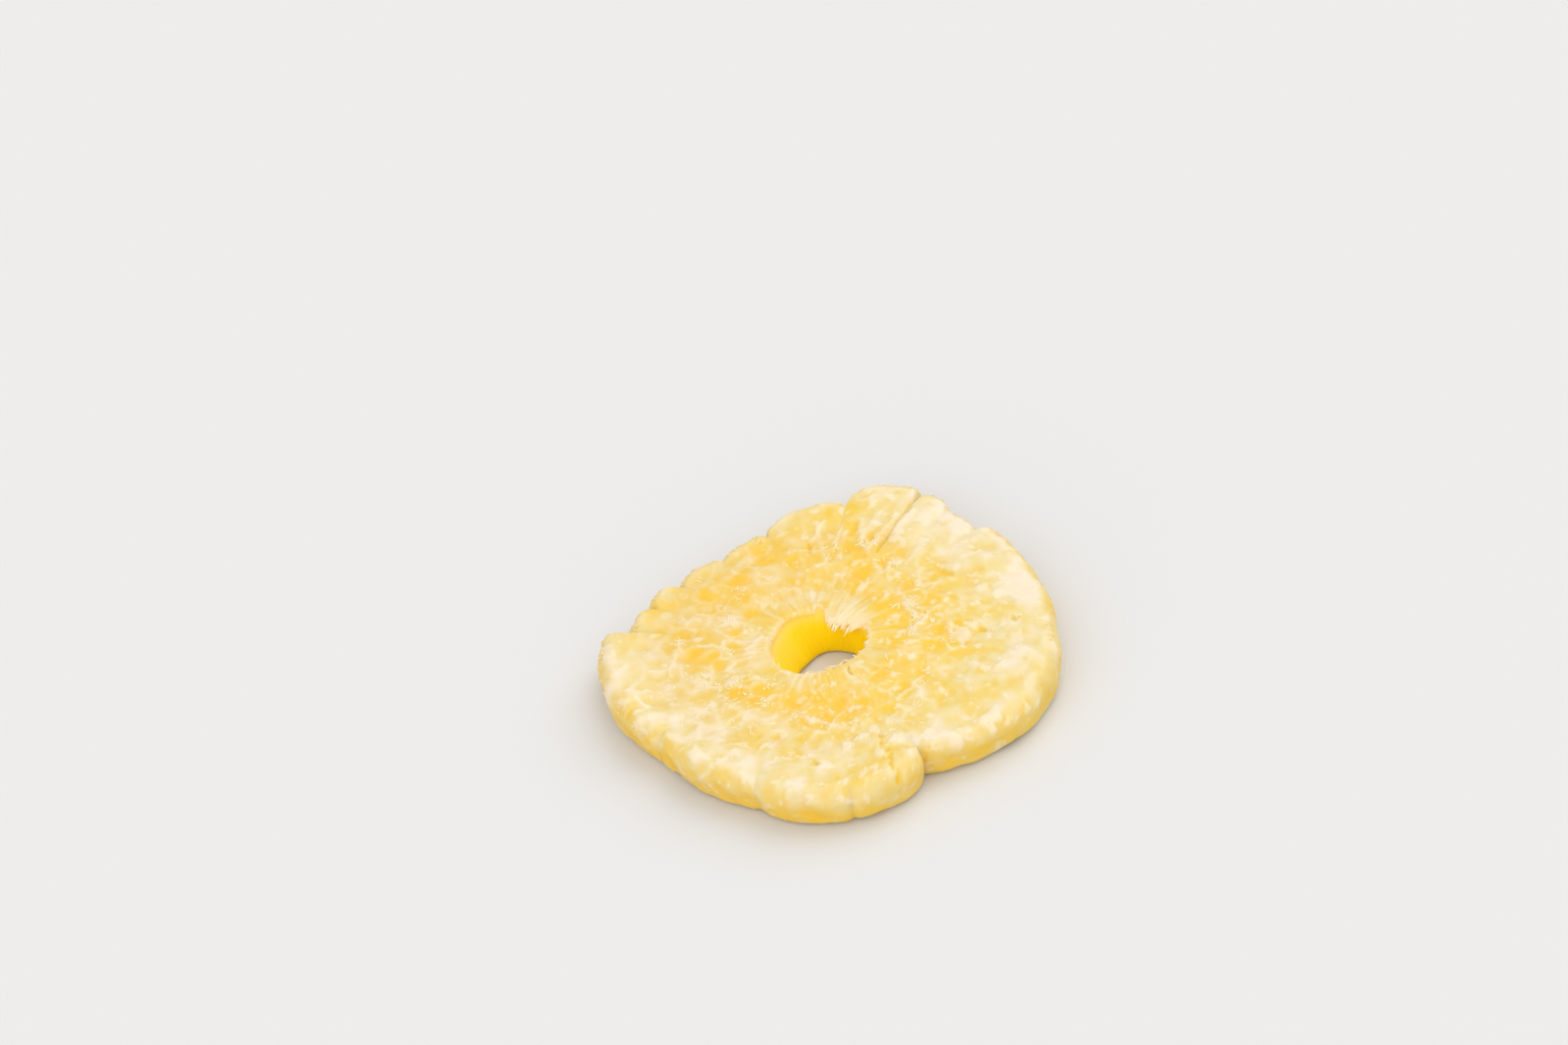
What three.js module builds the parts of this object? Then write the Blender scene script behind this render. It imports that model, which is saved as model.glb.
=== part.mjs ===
// A dried, sugared pineapple ring, lying flat with its frosted face up.
// Millimetres, +Z up. It is one closed solid of torus form: a rounded section is carried
// round the cored hole, and the rim radius of each lobe of the fruit gives the outline.
import * as THREE from 'three';

// --- Driving dimensions ---------------------------------------------------------------
const THICKNESS = 7.6;              // from the flat underside to the mean level of the face
const CORNER_RADIUS = { innerLow: 1.2, outerLow: 2.2, outerHigh: 3.2, innerHigh: 1.1 };
const UNDERCUT = 0.4;               // how much less the foot of the outer wall reaches out

// The lobes of the rim, counterclockwise from +X, angles in degrees round the hole's centre.
// from: where the lobe starts. rim: outer radius at its start and its end. bulge: how far its
// middle swells past the line between them. lift: how much higher than the mean its face lies
// at the rim. blend: half the angle over which the last lobe turns into this one. pinch: how
// deep the crevice at its start cuts into the outline. crease: depth of the furrow that runs
// from the crevice over the face. reach: the radius where that furrow runs out.
const LOBES = [
  { from: -67.5, rim: [32.5, 39.0], bulge: 0.5, lift: -0.4, blend: 0.6, pinch: 0.3, crease: 0.8, reach: 24 },
  { from: -42.0, rim: [39.0, 39.0], bulge: 1.2, lift: 0.3, blend: 4.0, pinch: 0.0, crease: 0.1, reach: 31 },
  { from: -12.0, rim: [39.0, 38.0], bulge: 0.0, lift: 0.0, blend: 4.0, pinch: 0.0, crease: 0.1, reach: 32 },
  { from: 12.0, rim: [38.0, 38.0], bulge: 0.0, lift: 0.1, blend: 4.0, pinch: 0.0, crease: 0.1, reach: 31 },
  { from: 34.5, rim: [36.5, 37.0], bulge: 0.0, lift: 0.2, blend: 0.6, pinch: 0.6, crease: 0.6, reach: 29 },
  { from: 46.0, rim: [37.0, 38.5], bulge: 1.0, lift: 0.5, blend: 1.0, pinch: 0.1, crease: 0.2, reach: 31 },
  { from: 56.0, rim: [39.5, 37.0], bulge: 2.0, lift: -0.4, blend: 0.5, pinch: 3.0, crease: 1.0, reach: 22 },
  { from: 75.0, rim: [35.5, 31.5], bulge: 1.2, lift: -0.2, blend: 0.6, pinch: 0.8, crease: 0.6, reach: 27 },
  { from: 99.5, rim: [31.0, 29.0], bulge: 0.3, lift: -0.3, blend: 0.6, pinch: 0.5, crease: 0.7, reach: 23 },
  { from: 117.5, rim: [30.0, 30.0], bulge: 0.3, lift: -0.2, blend: 2.0, pinch: 0.2, crease: 0.3, reach: 24 },
  { from: 135.5, rim: [30.0, 30.5], bulge: 2.0, lift: 0.0, blend: 0.7, pinch: 0.4, crease: 0.5, reach: 25 },
  { from: 148.5, rim: [32.5, 32.5], bulge: 0.3, lift: -0.1, blend: 0.7, pinch: 0.5, crease: 0.4, reach: 26 },
  { from: 160.5, rim: [36.5, 34.5], bulge: 0.5, lift: 0.6, blend: 0.6, pinch: 0.5, crease: 0.8, reach: 27 },
  { from: 195.0, rim: [34.5, 32.5], bulge: 0.0, lift: 0.1, blend: 4.0, pinch: 0.0, crease: 0.1, reach: 28 },
  { from: 208.0, rim: [32.5, 34.5], bulge: 0.0, lift: 0.0, blend: 2.0, pinch: 0.2, crease: 0.2, reach: 29 },
  { from: 245.0, rim: [34.5, 37.5], bulge: 1.0, lift: 0.2, blend: 4.0, pinch: 0.0, crease: 0.1, reach: 30 },
  { from: 270.5, rim: [37.5, 34.0], bulge: 1.5, lift: 0.3, blend: 3.0, pinch: 0.2, crease: 0.2, reach: 30 },
];
const CROWN_POWER = 0.6;            // below 1, a lobe's outline is fuller at its ends
const CREVICE_WIDTH = 0.55;         // half width of a crevice in the outline
const FURROW = {
  width: 0.7,                       // half width of a furrow on the face
  shoulder: 2.0,                    // at full depth this far inside the rim
  within: 60,                       // degrees to either side past which it is nothing
};

// The hole: a little oval, narrower at the underside, with a torn flap of flesh at its top.
// oval and trefoil: how far two and three swellings of its edge stand out, each turned.
const HOLE_TOP = { radius: 7.7, oval: 0.3, ovalTurn: 57, trefoil: 0.25, trefoilTurn: 126 };
const HOLE_FOOT = { radius: 5.2, oval: 0.2, ovalTurn: 29, offset: 1.7, offsetAngle: -45 };
const FLAP = { angle: 52, spread: 26, length: 1.9 };

// Gentle relief as sums of waves, longest and shortest wave in millimetres.
const FACE_WAVES = { height: 0.22, count: 7, longest: 16, shortest: 5, seed: 1 };
const WALL_WAVES = { height: 0.25, count: 6, longest: 12, shortest: 4, seed: 9 };
const WALL_SLANT = [0.7, -0.5];     // how the waves of the walls lean as they rise, in X and Y
const DENT_WAVES = { height: 0.9, count: 6, longest: 15, shortest: 6, seed: 5 };
const DENT_LEVEL = 0.15;            // only wave crests over this level dent the underside
const PILLOW = { height: 0.3, from: 22, to: 32 };  // how a lobe's face swells towards the rim

// How finely the solid is divided.
const DEGREES_PER_STEP = 3.0;       // along a lobe
const MIN_STEPS = 5;                // along the shortest lobe
const SECTION_STEPS = { underside: 5, corner: 3, wall: 2, face: 8, hole: 2 };

const FLESH_COLOUR = 0xfade92;
const FLESH_ROUGHNESS = 0.6;
const NODE_NAME = 'pineapple_ring';

// --- Helpers --------------------------------------------------------------------------
const GOLDEN_ANGLE = Math.PI * (3 - Math.sqrt(5));
const SEED_STRIDE = 3.1;            // sets the phases of differently seeded waves apart
const radians = THREE.MathUtils.degToRad;
const lerp = THREE.MathUtils.lerp;
const clamp01 = (x) => THREE.MathUtils.clamp(x, 0, 1);
const smooth = (x) => clamp01(x) ** 2 * (3 - 2 * clamp01(x));
const bell = (x) => Math.exp(-x * x);
const signedAngle = (degrees) => THREE.MathUtils.euclideanModulo(degrees + 180, 360) - 180;

/** A smooth uneven field: waves turned by the golden angle, the shorter the lower. */
function waves(x, y, { count, longest, shortest, seed }) {
  let sum = 0;
  for (let i = 0; i < count; i++) {
    const length = longest * (shortest / longest) ** (i / (count - 1));
    const turn = GOLDEN_ANGLE * (i + seed);
    const phase = GOLDEN_ANGLE * (i * i + SEED_STRIDE * seed);
    const along = x * Math.cos(turn) + y * Math.sin(turn);
    sum += Math.sin((2 * Math.PI * along) / length + phase) * Math.sqrt(length / longest);
  }
  return sum / Math.sqrt(count);
}

// --- The outline ----------------------------------------------------------------------
/** How far lobe i reaches at an angle, and how high its face stands there. */
function lobeAt(i, degrees) {
  const lobe = LOBES[i];
  const next = LOBES[(i + 1) % LOBES.length];
  const span = THREE.MathUtils.euclideanModulo(next.from - lobe.from, 360);
  const middle = lobe.from + span / 2;
  const along = signedAngle(degrees - middle) + span / 2;
  const share = smooth(along / (2 * lobe.blend) + 0.5)
    * smooth((span - along) / (2 * next.blend) + 0.5);
  const s = clamp01(along / span);
  const crown = 1 - (2 * s - 1) ** 2;
  const radius = lerp(lobe.rim[0], lobe.rim[1], s) + lobe.bulge * crown ** CROWN_POWER;
  const crevice = lobe.pinch * bell((radians(along) * radius) / CREVICE_WIDTH);
  const height = lobe.lift + PILLOW.height * crown;
  return { share, radius, height, crevice };
}

/** Outer radius and the height of the face by the rim at an angle, from all lobes. */
function rimAt(degrees) {
  let radius = 0;
  let height = 0;
  LOBES.forEach((_, i) => {
    const lobe = lobeAt(i, degrees);
    radius += lobe.share * lobe.radius - lobe.crevice;
    height += lobe.share * lobe.height;
  });
  return { radius, height };
}

/** Depth of the furrows that run in from the crevices, at a point of the face. */
function furrow(degrees, radius, rim) {
  let depth = 0;
  for (const { from, crease, reach } of LOBES) {
    const turn = signedAngle(degrees - from);
    if (Math.abs(turn) > FURROW.within) continue;
    const across = radius * Math.sin(radians(turn));
    const fade = smooth((radius - reach) / (rim - FURROW.shoulder - reach));
    depth += crease * bell(across / FURROW.width) * fade;
  }
  return depth;
}

/** Radius of the hole at its upper edge, drawn in where the torn flap reaches into it. */
function holeTop(degrees) {
  const flap = FLAP.length * bell(signedAngle(degrees - FLAP.angle) / FLAP.spread);
  return HOLE_TOP.radius + HOLE_TOP.oval * Math.sin(radians(2 * degrees + HOLE_TOP.ovalTurn))
    + HOLE_TOP.trefoil * Math.sin(radians(3 * degrees + HOLE_TOP.trefoilTurn)) - flap;
}

/** Radius of the hole at the underside. */
function holeFoot(degrees) {
  return HOLE_FOOT.radius + HOLE_FOOT.oval * Math.sin(radians(2 * degrees + HOLE_FOOT.ovalTurn))
    + HOLE_FOOT.offset * Math.cos(radians(degrees - HOLE_FOOT.offsetAngle));
}

// --- The section ----------------------------------------------------------------------
/** The stations of the rounded section, anticlockwise from the underside by the hole.
 *  corner: the corner that it starts from, 0 inner low, 1 outer low, 2 outer high, 3 inner
 *  high. share: how far on towards the next corner. normal: which way the skin looks. */
function sectionStations() {
  const { underside, corner, wall, face, hole } = SECTION_STEPS;
  const stations = [];
  [[0, underside], [1, wall], [2, face], [3, hole]].forEach(([from, steps]) => {
    const normal = radians(-90 + 90 * from);
    for (let i = 0; i < corner; i++) {
      stations.push({ corner: from, share: 0, normal: normal - radians(90 * (1 - i / corner)) });
    }
    for (let i = 0; i < steps; i++) stations.push({ corner: from, share: i / steps, normal });
  });
  return stations;
}

/** Centres and radii of the section's four corners at an angle. */
function sectionCorners(degrees, rim) {
  const { innerLow, outerLow, outerHigh, innerHigh } = CORNER_RADIUS;
  return [
    { r: holeFoot(degrees) + innerLow, z: innerLow, round: innerLow },
    { r: rim - UNDERCUT - outerLow, z: outerLow, round: outerLow },
    { r: rim - outerHigh, z: THICKNESS - outerHigh, round: outerHigh },
    { r: holeTop(degrees) + innerHigh, z: THICKNESS - innerHigh, round: innerHigh },
  ];
}

/** One point of the skin: the plain section first, then its relief along the normal. */
function skinPoint(station, degrees, rim, corners) {
  const a = corners[station.corner];
  const b = corners[(station.corner + 1) % corners.length];
  const round = lerp(a.round, b.round, station.share);
  const outward = Math.cos(station.normal);
  const upward = Math.sin(station.normal);
  let r = lerp(a.r, b.r, station.share) + round * outward;
  let z = lerp(a.z, b.z, station.share) + round * upward;
  const turn = radians(degrees);
  const x = r * Math.cos(turn);
  const y = r * Math.sin(turn);
  if (upward > 0) {
    const pillow = rim.height * smooth((r - PILLOW.from) / (PILLOW.to - PILLOW.from));
    const ripple = FACE_WAVES.height * waves(x, y, FACE_WAVES);
    z += upward * (ripple + pillow - furrow(degrees, r, rim.radius));
  } else {
    z -= upward * DENT_WAVES.height * Math.max(0, waves(x, y, DENT_WAVES) - DENT_LEVEL);
  }
  const [slantX, slantY] = WALL_SLANT;
  r += outward * WALL_WAVES.height * waves(x + slantX * z, y + slantY * z, WALL_WAVES);
  return [r * Math.cos(turn), r * Math.sin(turn), z];
}

// --- The solid ------------------------------------------------------------------------
/** The angles of the sections, close together at the crevices between the lobes. */
function sectionAngles() {
  return LOBES.flatMap((lobe, i) => {
    const next = LOBES[(i + 1) % LOBES.length];
    const span = THREE.MathUtils.euclideanModulo(next.from - lobe.from, 360);
    const steps = Math.max(MIN_STEPS, Math.round(span / DEGREES_PER_STEP) + 1);
    const ease = (k) => (1 - Math.cos((Math.PI * k) / steps)) / 2;
    return Array.from({ length: steps }, (_, k) => lobe.from + span * ease(k));
  });
}

/** Joins a closed grid of points, sections by stations, into an outward-facing skin. */
function ringGeometry() {
  const angles = sectionAngles();
  const stations = sectionStations();
  const positions = angles.flatMap((degrees) => {
    const rim = rimAt(degrees);
    const corners = sectionCorners(degrees, rim.radius);
    return stations.flatMap((station) => skinPoint(station, degrees, rim, corners));
  });
  const index = [];
  const at = (i, j) => (i % angles.length) * stations.length + (j % stations.length);
  for (let i = 0; i < angles.length; i++) {
    for (let j = 0; j < stations.length; j++) {
      index.push(at(i, j), at(i + 1, j), at(i + 1, j + 1));
      index.push(at(i, j), at(i + 1, j + 1), at(i, j + 1));
    }
  }
  const geometry = new THREE.BufferGeometry();
  geometry.setAttribute('position', new THREE.Float32BufferAttribute(positions, 3));
  geometry.setIndex(index);
  return geometry;
}

/** Moves a geometry so that the middle of its box's underside is the origin. */
function standOnOrigin(geometry) {
  geometry.computeBoundingBox();
  const { min, max } = geometry.boundingBox;
  return geometry.translate(-(min.x + max.x) / 2, -(min.y + max.y) / 2, -min.z);
}

const flesh = new THREE.MeshStandardMaterial({
  color: FLESH_COLOUR,
  roughness: FLESH_ROUGHNESS,
  metalness: 0,
});
const ring = new THREE.Mesh(standOnOrigin(ringGeometry()), flesh);
ring.name = NODE_NAME;

const group = new THREE.Group();
group.add(ring);

export default group;
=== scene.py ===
"""A dried, sugared pineapple ring, lying flat with its frosted face up.

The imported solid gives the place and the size. The ring's skin is worked out again here from the
same lobes and the same rounded section, at a much finer step, and gets the relief of the flesh:
cell walls, radial fibres, cracks, frosted lumps and a ragged edge round the hole. Torn fibres,
flakes of set syrup and grains of sugar lie on it as meshes of their own.

Sizes are in millimetres and angles in degrees, counterclockwise from +X round the middle of the
hole, until a mesh is made. Then they are moved into the frame's place and turned into metres.
"""

from __future__ import annotations

import itertools
import logging
import math
from dataclasses import dataclass
from enum import Enum, IntEnum

import bpy
import numpy as np
from mathutils import Matrix, Vector

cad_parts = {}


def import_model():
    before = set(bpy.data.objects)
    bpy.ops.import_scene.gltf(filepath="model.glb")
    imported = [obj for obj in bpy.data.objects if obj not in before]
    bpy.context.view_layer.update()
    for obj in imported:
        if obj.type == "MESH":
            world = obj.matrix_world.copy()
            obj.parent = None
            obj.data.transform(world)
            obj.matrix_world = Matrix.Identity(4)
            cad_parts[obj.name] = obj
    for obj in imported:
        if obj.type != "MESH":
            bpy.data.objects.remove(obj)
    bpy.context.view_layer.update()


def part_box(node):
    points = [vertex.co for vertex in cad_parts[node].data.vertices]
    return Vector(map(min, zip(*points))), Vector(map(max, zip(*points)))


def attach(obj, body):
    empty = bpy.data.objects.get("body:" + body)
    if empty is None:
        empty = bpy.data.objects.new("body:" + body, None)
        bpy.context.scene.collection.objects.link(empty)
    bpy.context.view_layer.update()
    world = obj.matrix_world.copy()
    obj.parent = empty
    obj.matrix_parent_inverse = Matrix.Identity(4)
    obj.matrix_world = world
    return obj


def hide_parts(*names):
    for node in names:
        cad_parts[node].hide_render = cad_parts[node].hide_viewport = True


log = logging.getLogger("pineapple_ring")

MM = 0.001
NODE = "pineapple_ring"
BODY = "root"
GOLDEN_ANGLE = math.pi * (3 - math.sqrt(5))
TINY = 1e-9

Array = np.ndarray


# --- Plain functions ----------------------------------------------------------------------
def smooth(x: Array) -> Array:
    """Rises from 0 at 0 to 1 at 1 with level ends, and stays there: 3 x^2 - 2 x^3."""
    x = np.clip(x, 0.0, 1.0)
    return x * x * (3 - 2 * x)


def bell(x: Array) -> Array:
    """A bell of height 1 and half width 1: exp(-x^2)."""
    return np.exp(-np.square(x))


def lerp(a: Array, b: Array, share: Array) -> Array:
    """From a at share 0 to b at share 1."""
    return a + (b - a) * share


def rise(x: Array, start: Array, end: Array) -> Array:
    """0 up to start and 1 from end on, smooth between them."""
    return smooth((x - start) / (end - start))


def as_share(noise: Array) -> Array:
    """Noise from about -1 to 1 as a share from 0 to 1, a half where the noise is 0."""
    return smooth(0.5 + noise)


def signed_angle(degrees: Array) -> Array:
    """The same angle between -180 and 180 degrees."""
    return np.mod(np.asarray(degrees) + 180.0, 360.0) - 180.0


def bell_at(degrees: Array, middle: float, spread: float) -> Array:
    """A bell round a middle angle, with its half width in degrees."""
    return bell(signed_angle(degrees - middle) / spread)


def from_polar(degrees: Array, radius: Array, height: Array) -> Array:
    """Places in space at an angle, a radius and a height, three numbers each."""
    turn = np.radians(degrees)
    return np.stack([radius * np.cos(turn), radius * np.sin(turn), height], axis=-1)


def on_circle(degrees: float, radius: float) -> Array:
    """The flat point at an angle and a radius."""
    return radius * np.array([math.cos(math.radians(degrees)), math.sin(math.radians(degrees))])


def linear(hex_colour: str) -> tuple[float, float, float, float]:
    """Turns an sRGB hex colour into linear RGBA.

    Args:
        hex_colour: six hex digits, with or without a leading #.

    Returns:
        Linear red, green, blue and an alpha of 1.
    """
    digits = hex_colour.lstrip("#")
    channels = [int(digits[i:i + 2], 16) / 255 for i in (0, 2, 4)]
    low = [c / 12.92 for c in channels]
    high = [((c + 0.055) / 1.055) ** 2.4 for c in channels]
    red, green, blue = (a if c <= 0.04045 else b for c, a, b in zip(channels, low, high))
    return red, green, blue, 1.0


# --- Uneven fields ------------------------------------------------------------------------
@dataclass(frozen=True)
class Waves:
    """A gentle field: sine waves turned by the golden angle, the shorter the lower.

    height: of the sum. count: how many waves, with lengths from longest to shortest. seed and
    phase_stride: choose their turns and phases.
    """

    height: float
    count: int
    longest: float
    shortest: float
    seed: int
    phase_stride: float = 3.1

    def at(self, x: Array, y: Array) -> Array:
        """Sum of sin(2 pi along / length + phase) sqrt(length / longest), over sqrt(count).

        Args:
            x: places along X.
            y: places along Y.

        Returns:
            The field times its height, in the same shape.
        """
        total = np.zeros(np.broadcast(x, y).shape)
        for i in range(self.count):
            length = self.longest * (self.shortest / self.longest) ** (i / (self.count - 1))
            turn = GOLDEN_ANGLE * (i + self.seed)
            phase = GOLDEN_ANGLE * (i * i + self.phase_stride * self.seed)
            along = x * math.cos(turn) + y * math.sin(turn)
            total += np.sin(2 * math.pi * along / length + phase) * math.sqrt(length / self.longest)
        return self.height * total / math.sqrt(self.count)


@dataclass(frozen=True)
class Noise:
    """Seeded gradient noise in space, about -1 to 1, made of octaves of halving size.

    size: of the largest lumps. gain: height of each octave as a share of the last one's.
    TABLE: how many slopes are drawn. STRETCH: brings the sum to about -1 to 1. APART: keeps
    the lattices of the octaves from falling together.
    """

    size: float
    seed: int
    octaves: int = 1
    gain: float = 0.5

    TABLE = 256
    STRETCH = 1.7
    APART = 17.3

    def at(self, x: Array, y: Array, z: Array | float = 0.0) -> Array:
        """Adds the octaves, each half as large as the last and gain times as high.

        Args:
            x: places along X, in the unit of size.
            y: places along Y.
            z: places along Z.

        Returns:
            The noise, in the shape of the places.
        """
        rng = np.random.default_rng(self.seed)
        order = rng.permutation(self.TABLE)
        slopes = rng.normal(size=(self.TABLE, 3))
        slopes /= np.linalg.norm(slopes, axis=1, keepdims=True)
        x, y, z = np.broadcast_arrays(x, y, z)
        places = np.stack([x, y, z], axis=-1) / self.size
        total, power = np.zeros(x.shape), 0.0
        for octave in range(self.octaves):
            weight = self.gain ** octave
            lattice = places * 2 ** octave + self.APART * octave
            total += weight * self._layer(lattice, order, slopes)
            power += weight ** 2
        return self.STRETCH * total / math.sqrt(power)

    def by_angle(self, degrees: Array, girth: float, along: Array | float = 0.0) -> Array:
        """The noise on a circle of radius girth, by angle, and straight along its axis."""
        turn = np.radians(degrees)
        return self.at(girth * np.cos(turn), girth * np.sin(turn), along)

    def _layer(self, places: Array, order: Array, slopes: Array) -> Array:
        """One octave: slopes at the corners of a unit lattice, blended by 6t^5 - 15t^4 + 10t^3."""
        cell = np.floor(places).astype(np.int64)
        local = places - cell
        fade = local ** 3 * (10 + local * (6 * local - 15))
        total = np.zeros(places.shape[:-1])
        for corner in itertools.product((0, 1), repeat=3):
            index = order[(cell[..., 2] + corner[2]) % self.TABLE]
            index = order[(index + cell[..., 1] + corner[1]) % self.TABLE]
            index = order[(index + cell[..., 0] + corner[0]) % self.TABLE]
            height = np.sum(slopes[index] * (local - corner), axis=-1)
            share = np.prod(np.where(corner, fade, 1 - fade), axis=-1)
            total += height * share
        return total


@dataclass(frozen=True)
class FleshCells:
    """Cells of the flesh, longer along the fibres, round seeds on a jittered square grid.

    spacing: of the grid. stretch: how much longer than wide a cell is. warp and warp_size:
    how far noise bends the cells, and its size. TABLE: after so many columns and rows the
    seeds repeat. REACH: how many columns and rows around a place are searched. SLICES: the
    two heights at which the noise is read, for the bends along X and Y.
    """

    spacing: float
    stretch: float
    seed: int
    warp: float = 0.6
    warp_size: float = 3.0

    TABLE = 64
    REACH = 3
    SLICES = (0.5, 9.5)

    def at(self, x: Array, y: Array) -> tuple[Array, Array, Array]:
        """Distance to the nearest two seeds, with the radial share divided by the stretch.

        Args:
            x: places along X from the hole's middle.
            y: places along Y.

        Returns:
            Distance to the nearest seed, how much further the next one is, and a number
            from 0 to 1 drawn for the cell.
        """
        rng = np.random.default_rng(self.seed)
        jitter = rng.random((self.TABLE, self.TABLE, 3))
        bend = Noise(self.warp_size, self.seed + 1, octaves=2)
        x = x + self.warp * bend.at(x, y, self.SLICES[0])
        y = y + self.warp * bend.at(x, y, self.SLICES[1])
        reach = np.hypot(x, y) + TINY
        out_x, out_y = x / reach, y / reach
        column = np.floor(x / self.spacing).astype(np.int64)
        row = np.floor(y / self.spacing).astype(np.int64)
        first = np.full(x.shape, np.inf)
        second = np.full(x.shape, np.inf)
        tag = np.zeros(x.shape)
        steps = range(-self.REACH, self.REACH + 1)
        for across, up in itertools.product(steps, steps):
            drawn = jitter[(column + across) % self.TABLE, (row + up) % self.TABLE]
            dx = (column + across + drawn[..., 0]) * self.spacing - x
            dy = (row + up + drawn[..., 1]) * self.spacing - y
            along = (dx * out_x + dy * out_y) / self.stretch
            distance = np.hypot(along, dy * out_x - dx * out_y)
            nearer = distance < first
            second = np.where(nearer, first, np.minimum(second, distance))
            tag = np.where(nearer, drawn[..., 2], tag)
            first = np.where(nearer, distance, first)
        return first, second - first, tag


# --- The form -----------------------------------------------------------------------------
class Corner(IntEnum):
    """The rounded corners of the section, anticlockwise from the underside by the hole."""

    INNER_LOW = 0
    OUTER_LOW = 1
    OUTER_HIGH = 2
    INNER_HIGH = 3


@dataclass(frozen=True)
class Lobe:
    """One lobe of the fruit's outline.

    start: the angle where it begins. rim: outer radius at its start and its end. bulge: how
    far its middle swells past the line between them. lift: how much higher than the mean its
    face lies at the rim. blend: half the angle over which the last lobe turns into this one.
    pinch: how deep the crevice at its start cuts in. crease: depth of the furrow that runs
    from that crevice over the face. reach: the radius where that furrow runs out.
    """

    start: float
    rim: tuple[float, float]
    bulge: float
    lift: float
    blend: float
    pinch: float
    crease: float
    reach: float


# The lobes round the fruit, from the notch on.
LOBES = (
    Lobe(-67.5, (32.5, 39.0), 0.5, -0.4, 0.6, 0.3, 0.8, 24),
    Lobe(-42.0, (39.0, 39.0), 1.2, 0.3, 4.0, 0.0, 0.1, 31),
    Lobe(-12.0, (39.0, 38.0), 0.0, 0.0, 4.0, 0.0, 0.1, 32),
    Lobe(12.0, (38.0, 38.0), 0.0, 0.1, 4.0, 0.0, 0.1, 31),
    Lobe(34.5, (36.5, 37.0), 0.0, 0.2, 0.6, 0.6, 0.6, 29),
    Lobe(46.0, (37.0, 38.5), 1.0, 0.5, 1.0, 0.1, 0.2, 31),
    Lobe(56.0, (39.5, 37.0), 2.0, -0.4, 0.5, 3.0, 1.0, 22),
    Lobe(75.0, (35.5, 31.5), 1.2, -0.2, 0.6, 0.8, 0.6, 27),
    Lobe(99.5, (31.0, 29.0), 0.3, -0.3, 0.6, 0.5, 0.7, 23),
    Lobe(117.5, (30.0, 30.0), 0.3, -0.2, 2.0, 0.2, 0.3, 24),
    Lobe(135.5, (30.0, 30.5), 2.0, 0.0, 0.7, 0.4, 0.5, 25),
    Lobe(148.5, (32.5, 32.5), 0.3, -0.1, 0.7, 0.5, 0.4, 26),
    Lobe(160.5, (36.5, 34.5), 0.5, 0.6, 0.6, 0.5, 0.8, 27),
    Lobe(195.0, (34.5, 32.5), 0.0, 0.1, 4.0, 0.0, 0.1, 28),
    Lobe(208.0, (32.5, 34.5), 0.0, 0.0, 2.0, 0.2, 0.2, 29),
    Lobe(245.0, (34.5, 37.5), 1.0, 0.2, 4.0, 0.0, 0.1, 30),
    Lobe(270.5, (37.5, 34.0), 1.5, 0.3, 3.0, 0.2, 0.2, 30),
)


@dataclass(frozen=True)
class Skin:
    """Points of the skin as arrays of one shape, before the relief of the flesh.

    normal_out and normal_up: the plain section's outward normal. rim and hole: outer radius
    and radius of the hole's upper edge at the point's angle. furrow: depth of the furrows.
    """

    degrees: Array
    radius: Array
    height: Array
    normal_out: Array
    normal_up: Array
    rim: Array
    hole: Array
    furrow: Array | float = 0.0

    def x(self) -> Array:
        """Places along X."""
        return self.radius * np.cos(np.radians(self.degrees))

    def y(self) -> Array:
        """Places along Y."""
        return self.radius * np.sin(np.radians(self.degrees))

    def points(self) -> Array:
        """Places in space, three numbers each."""
        return from_polar(self.degrees, self.radius, self.height)

    def on_edge(self) -> Array:
        """1 where the skin looks half out and half up, falling to 0 on the face and the wall."""
        return smooth(2 * np.maximum(0, self.normal_out) * np.maximum(0, self.normal_up))


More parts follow.
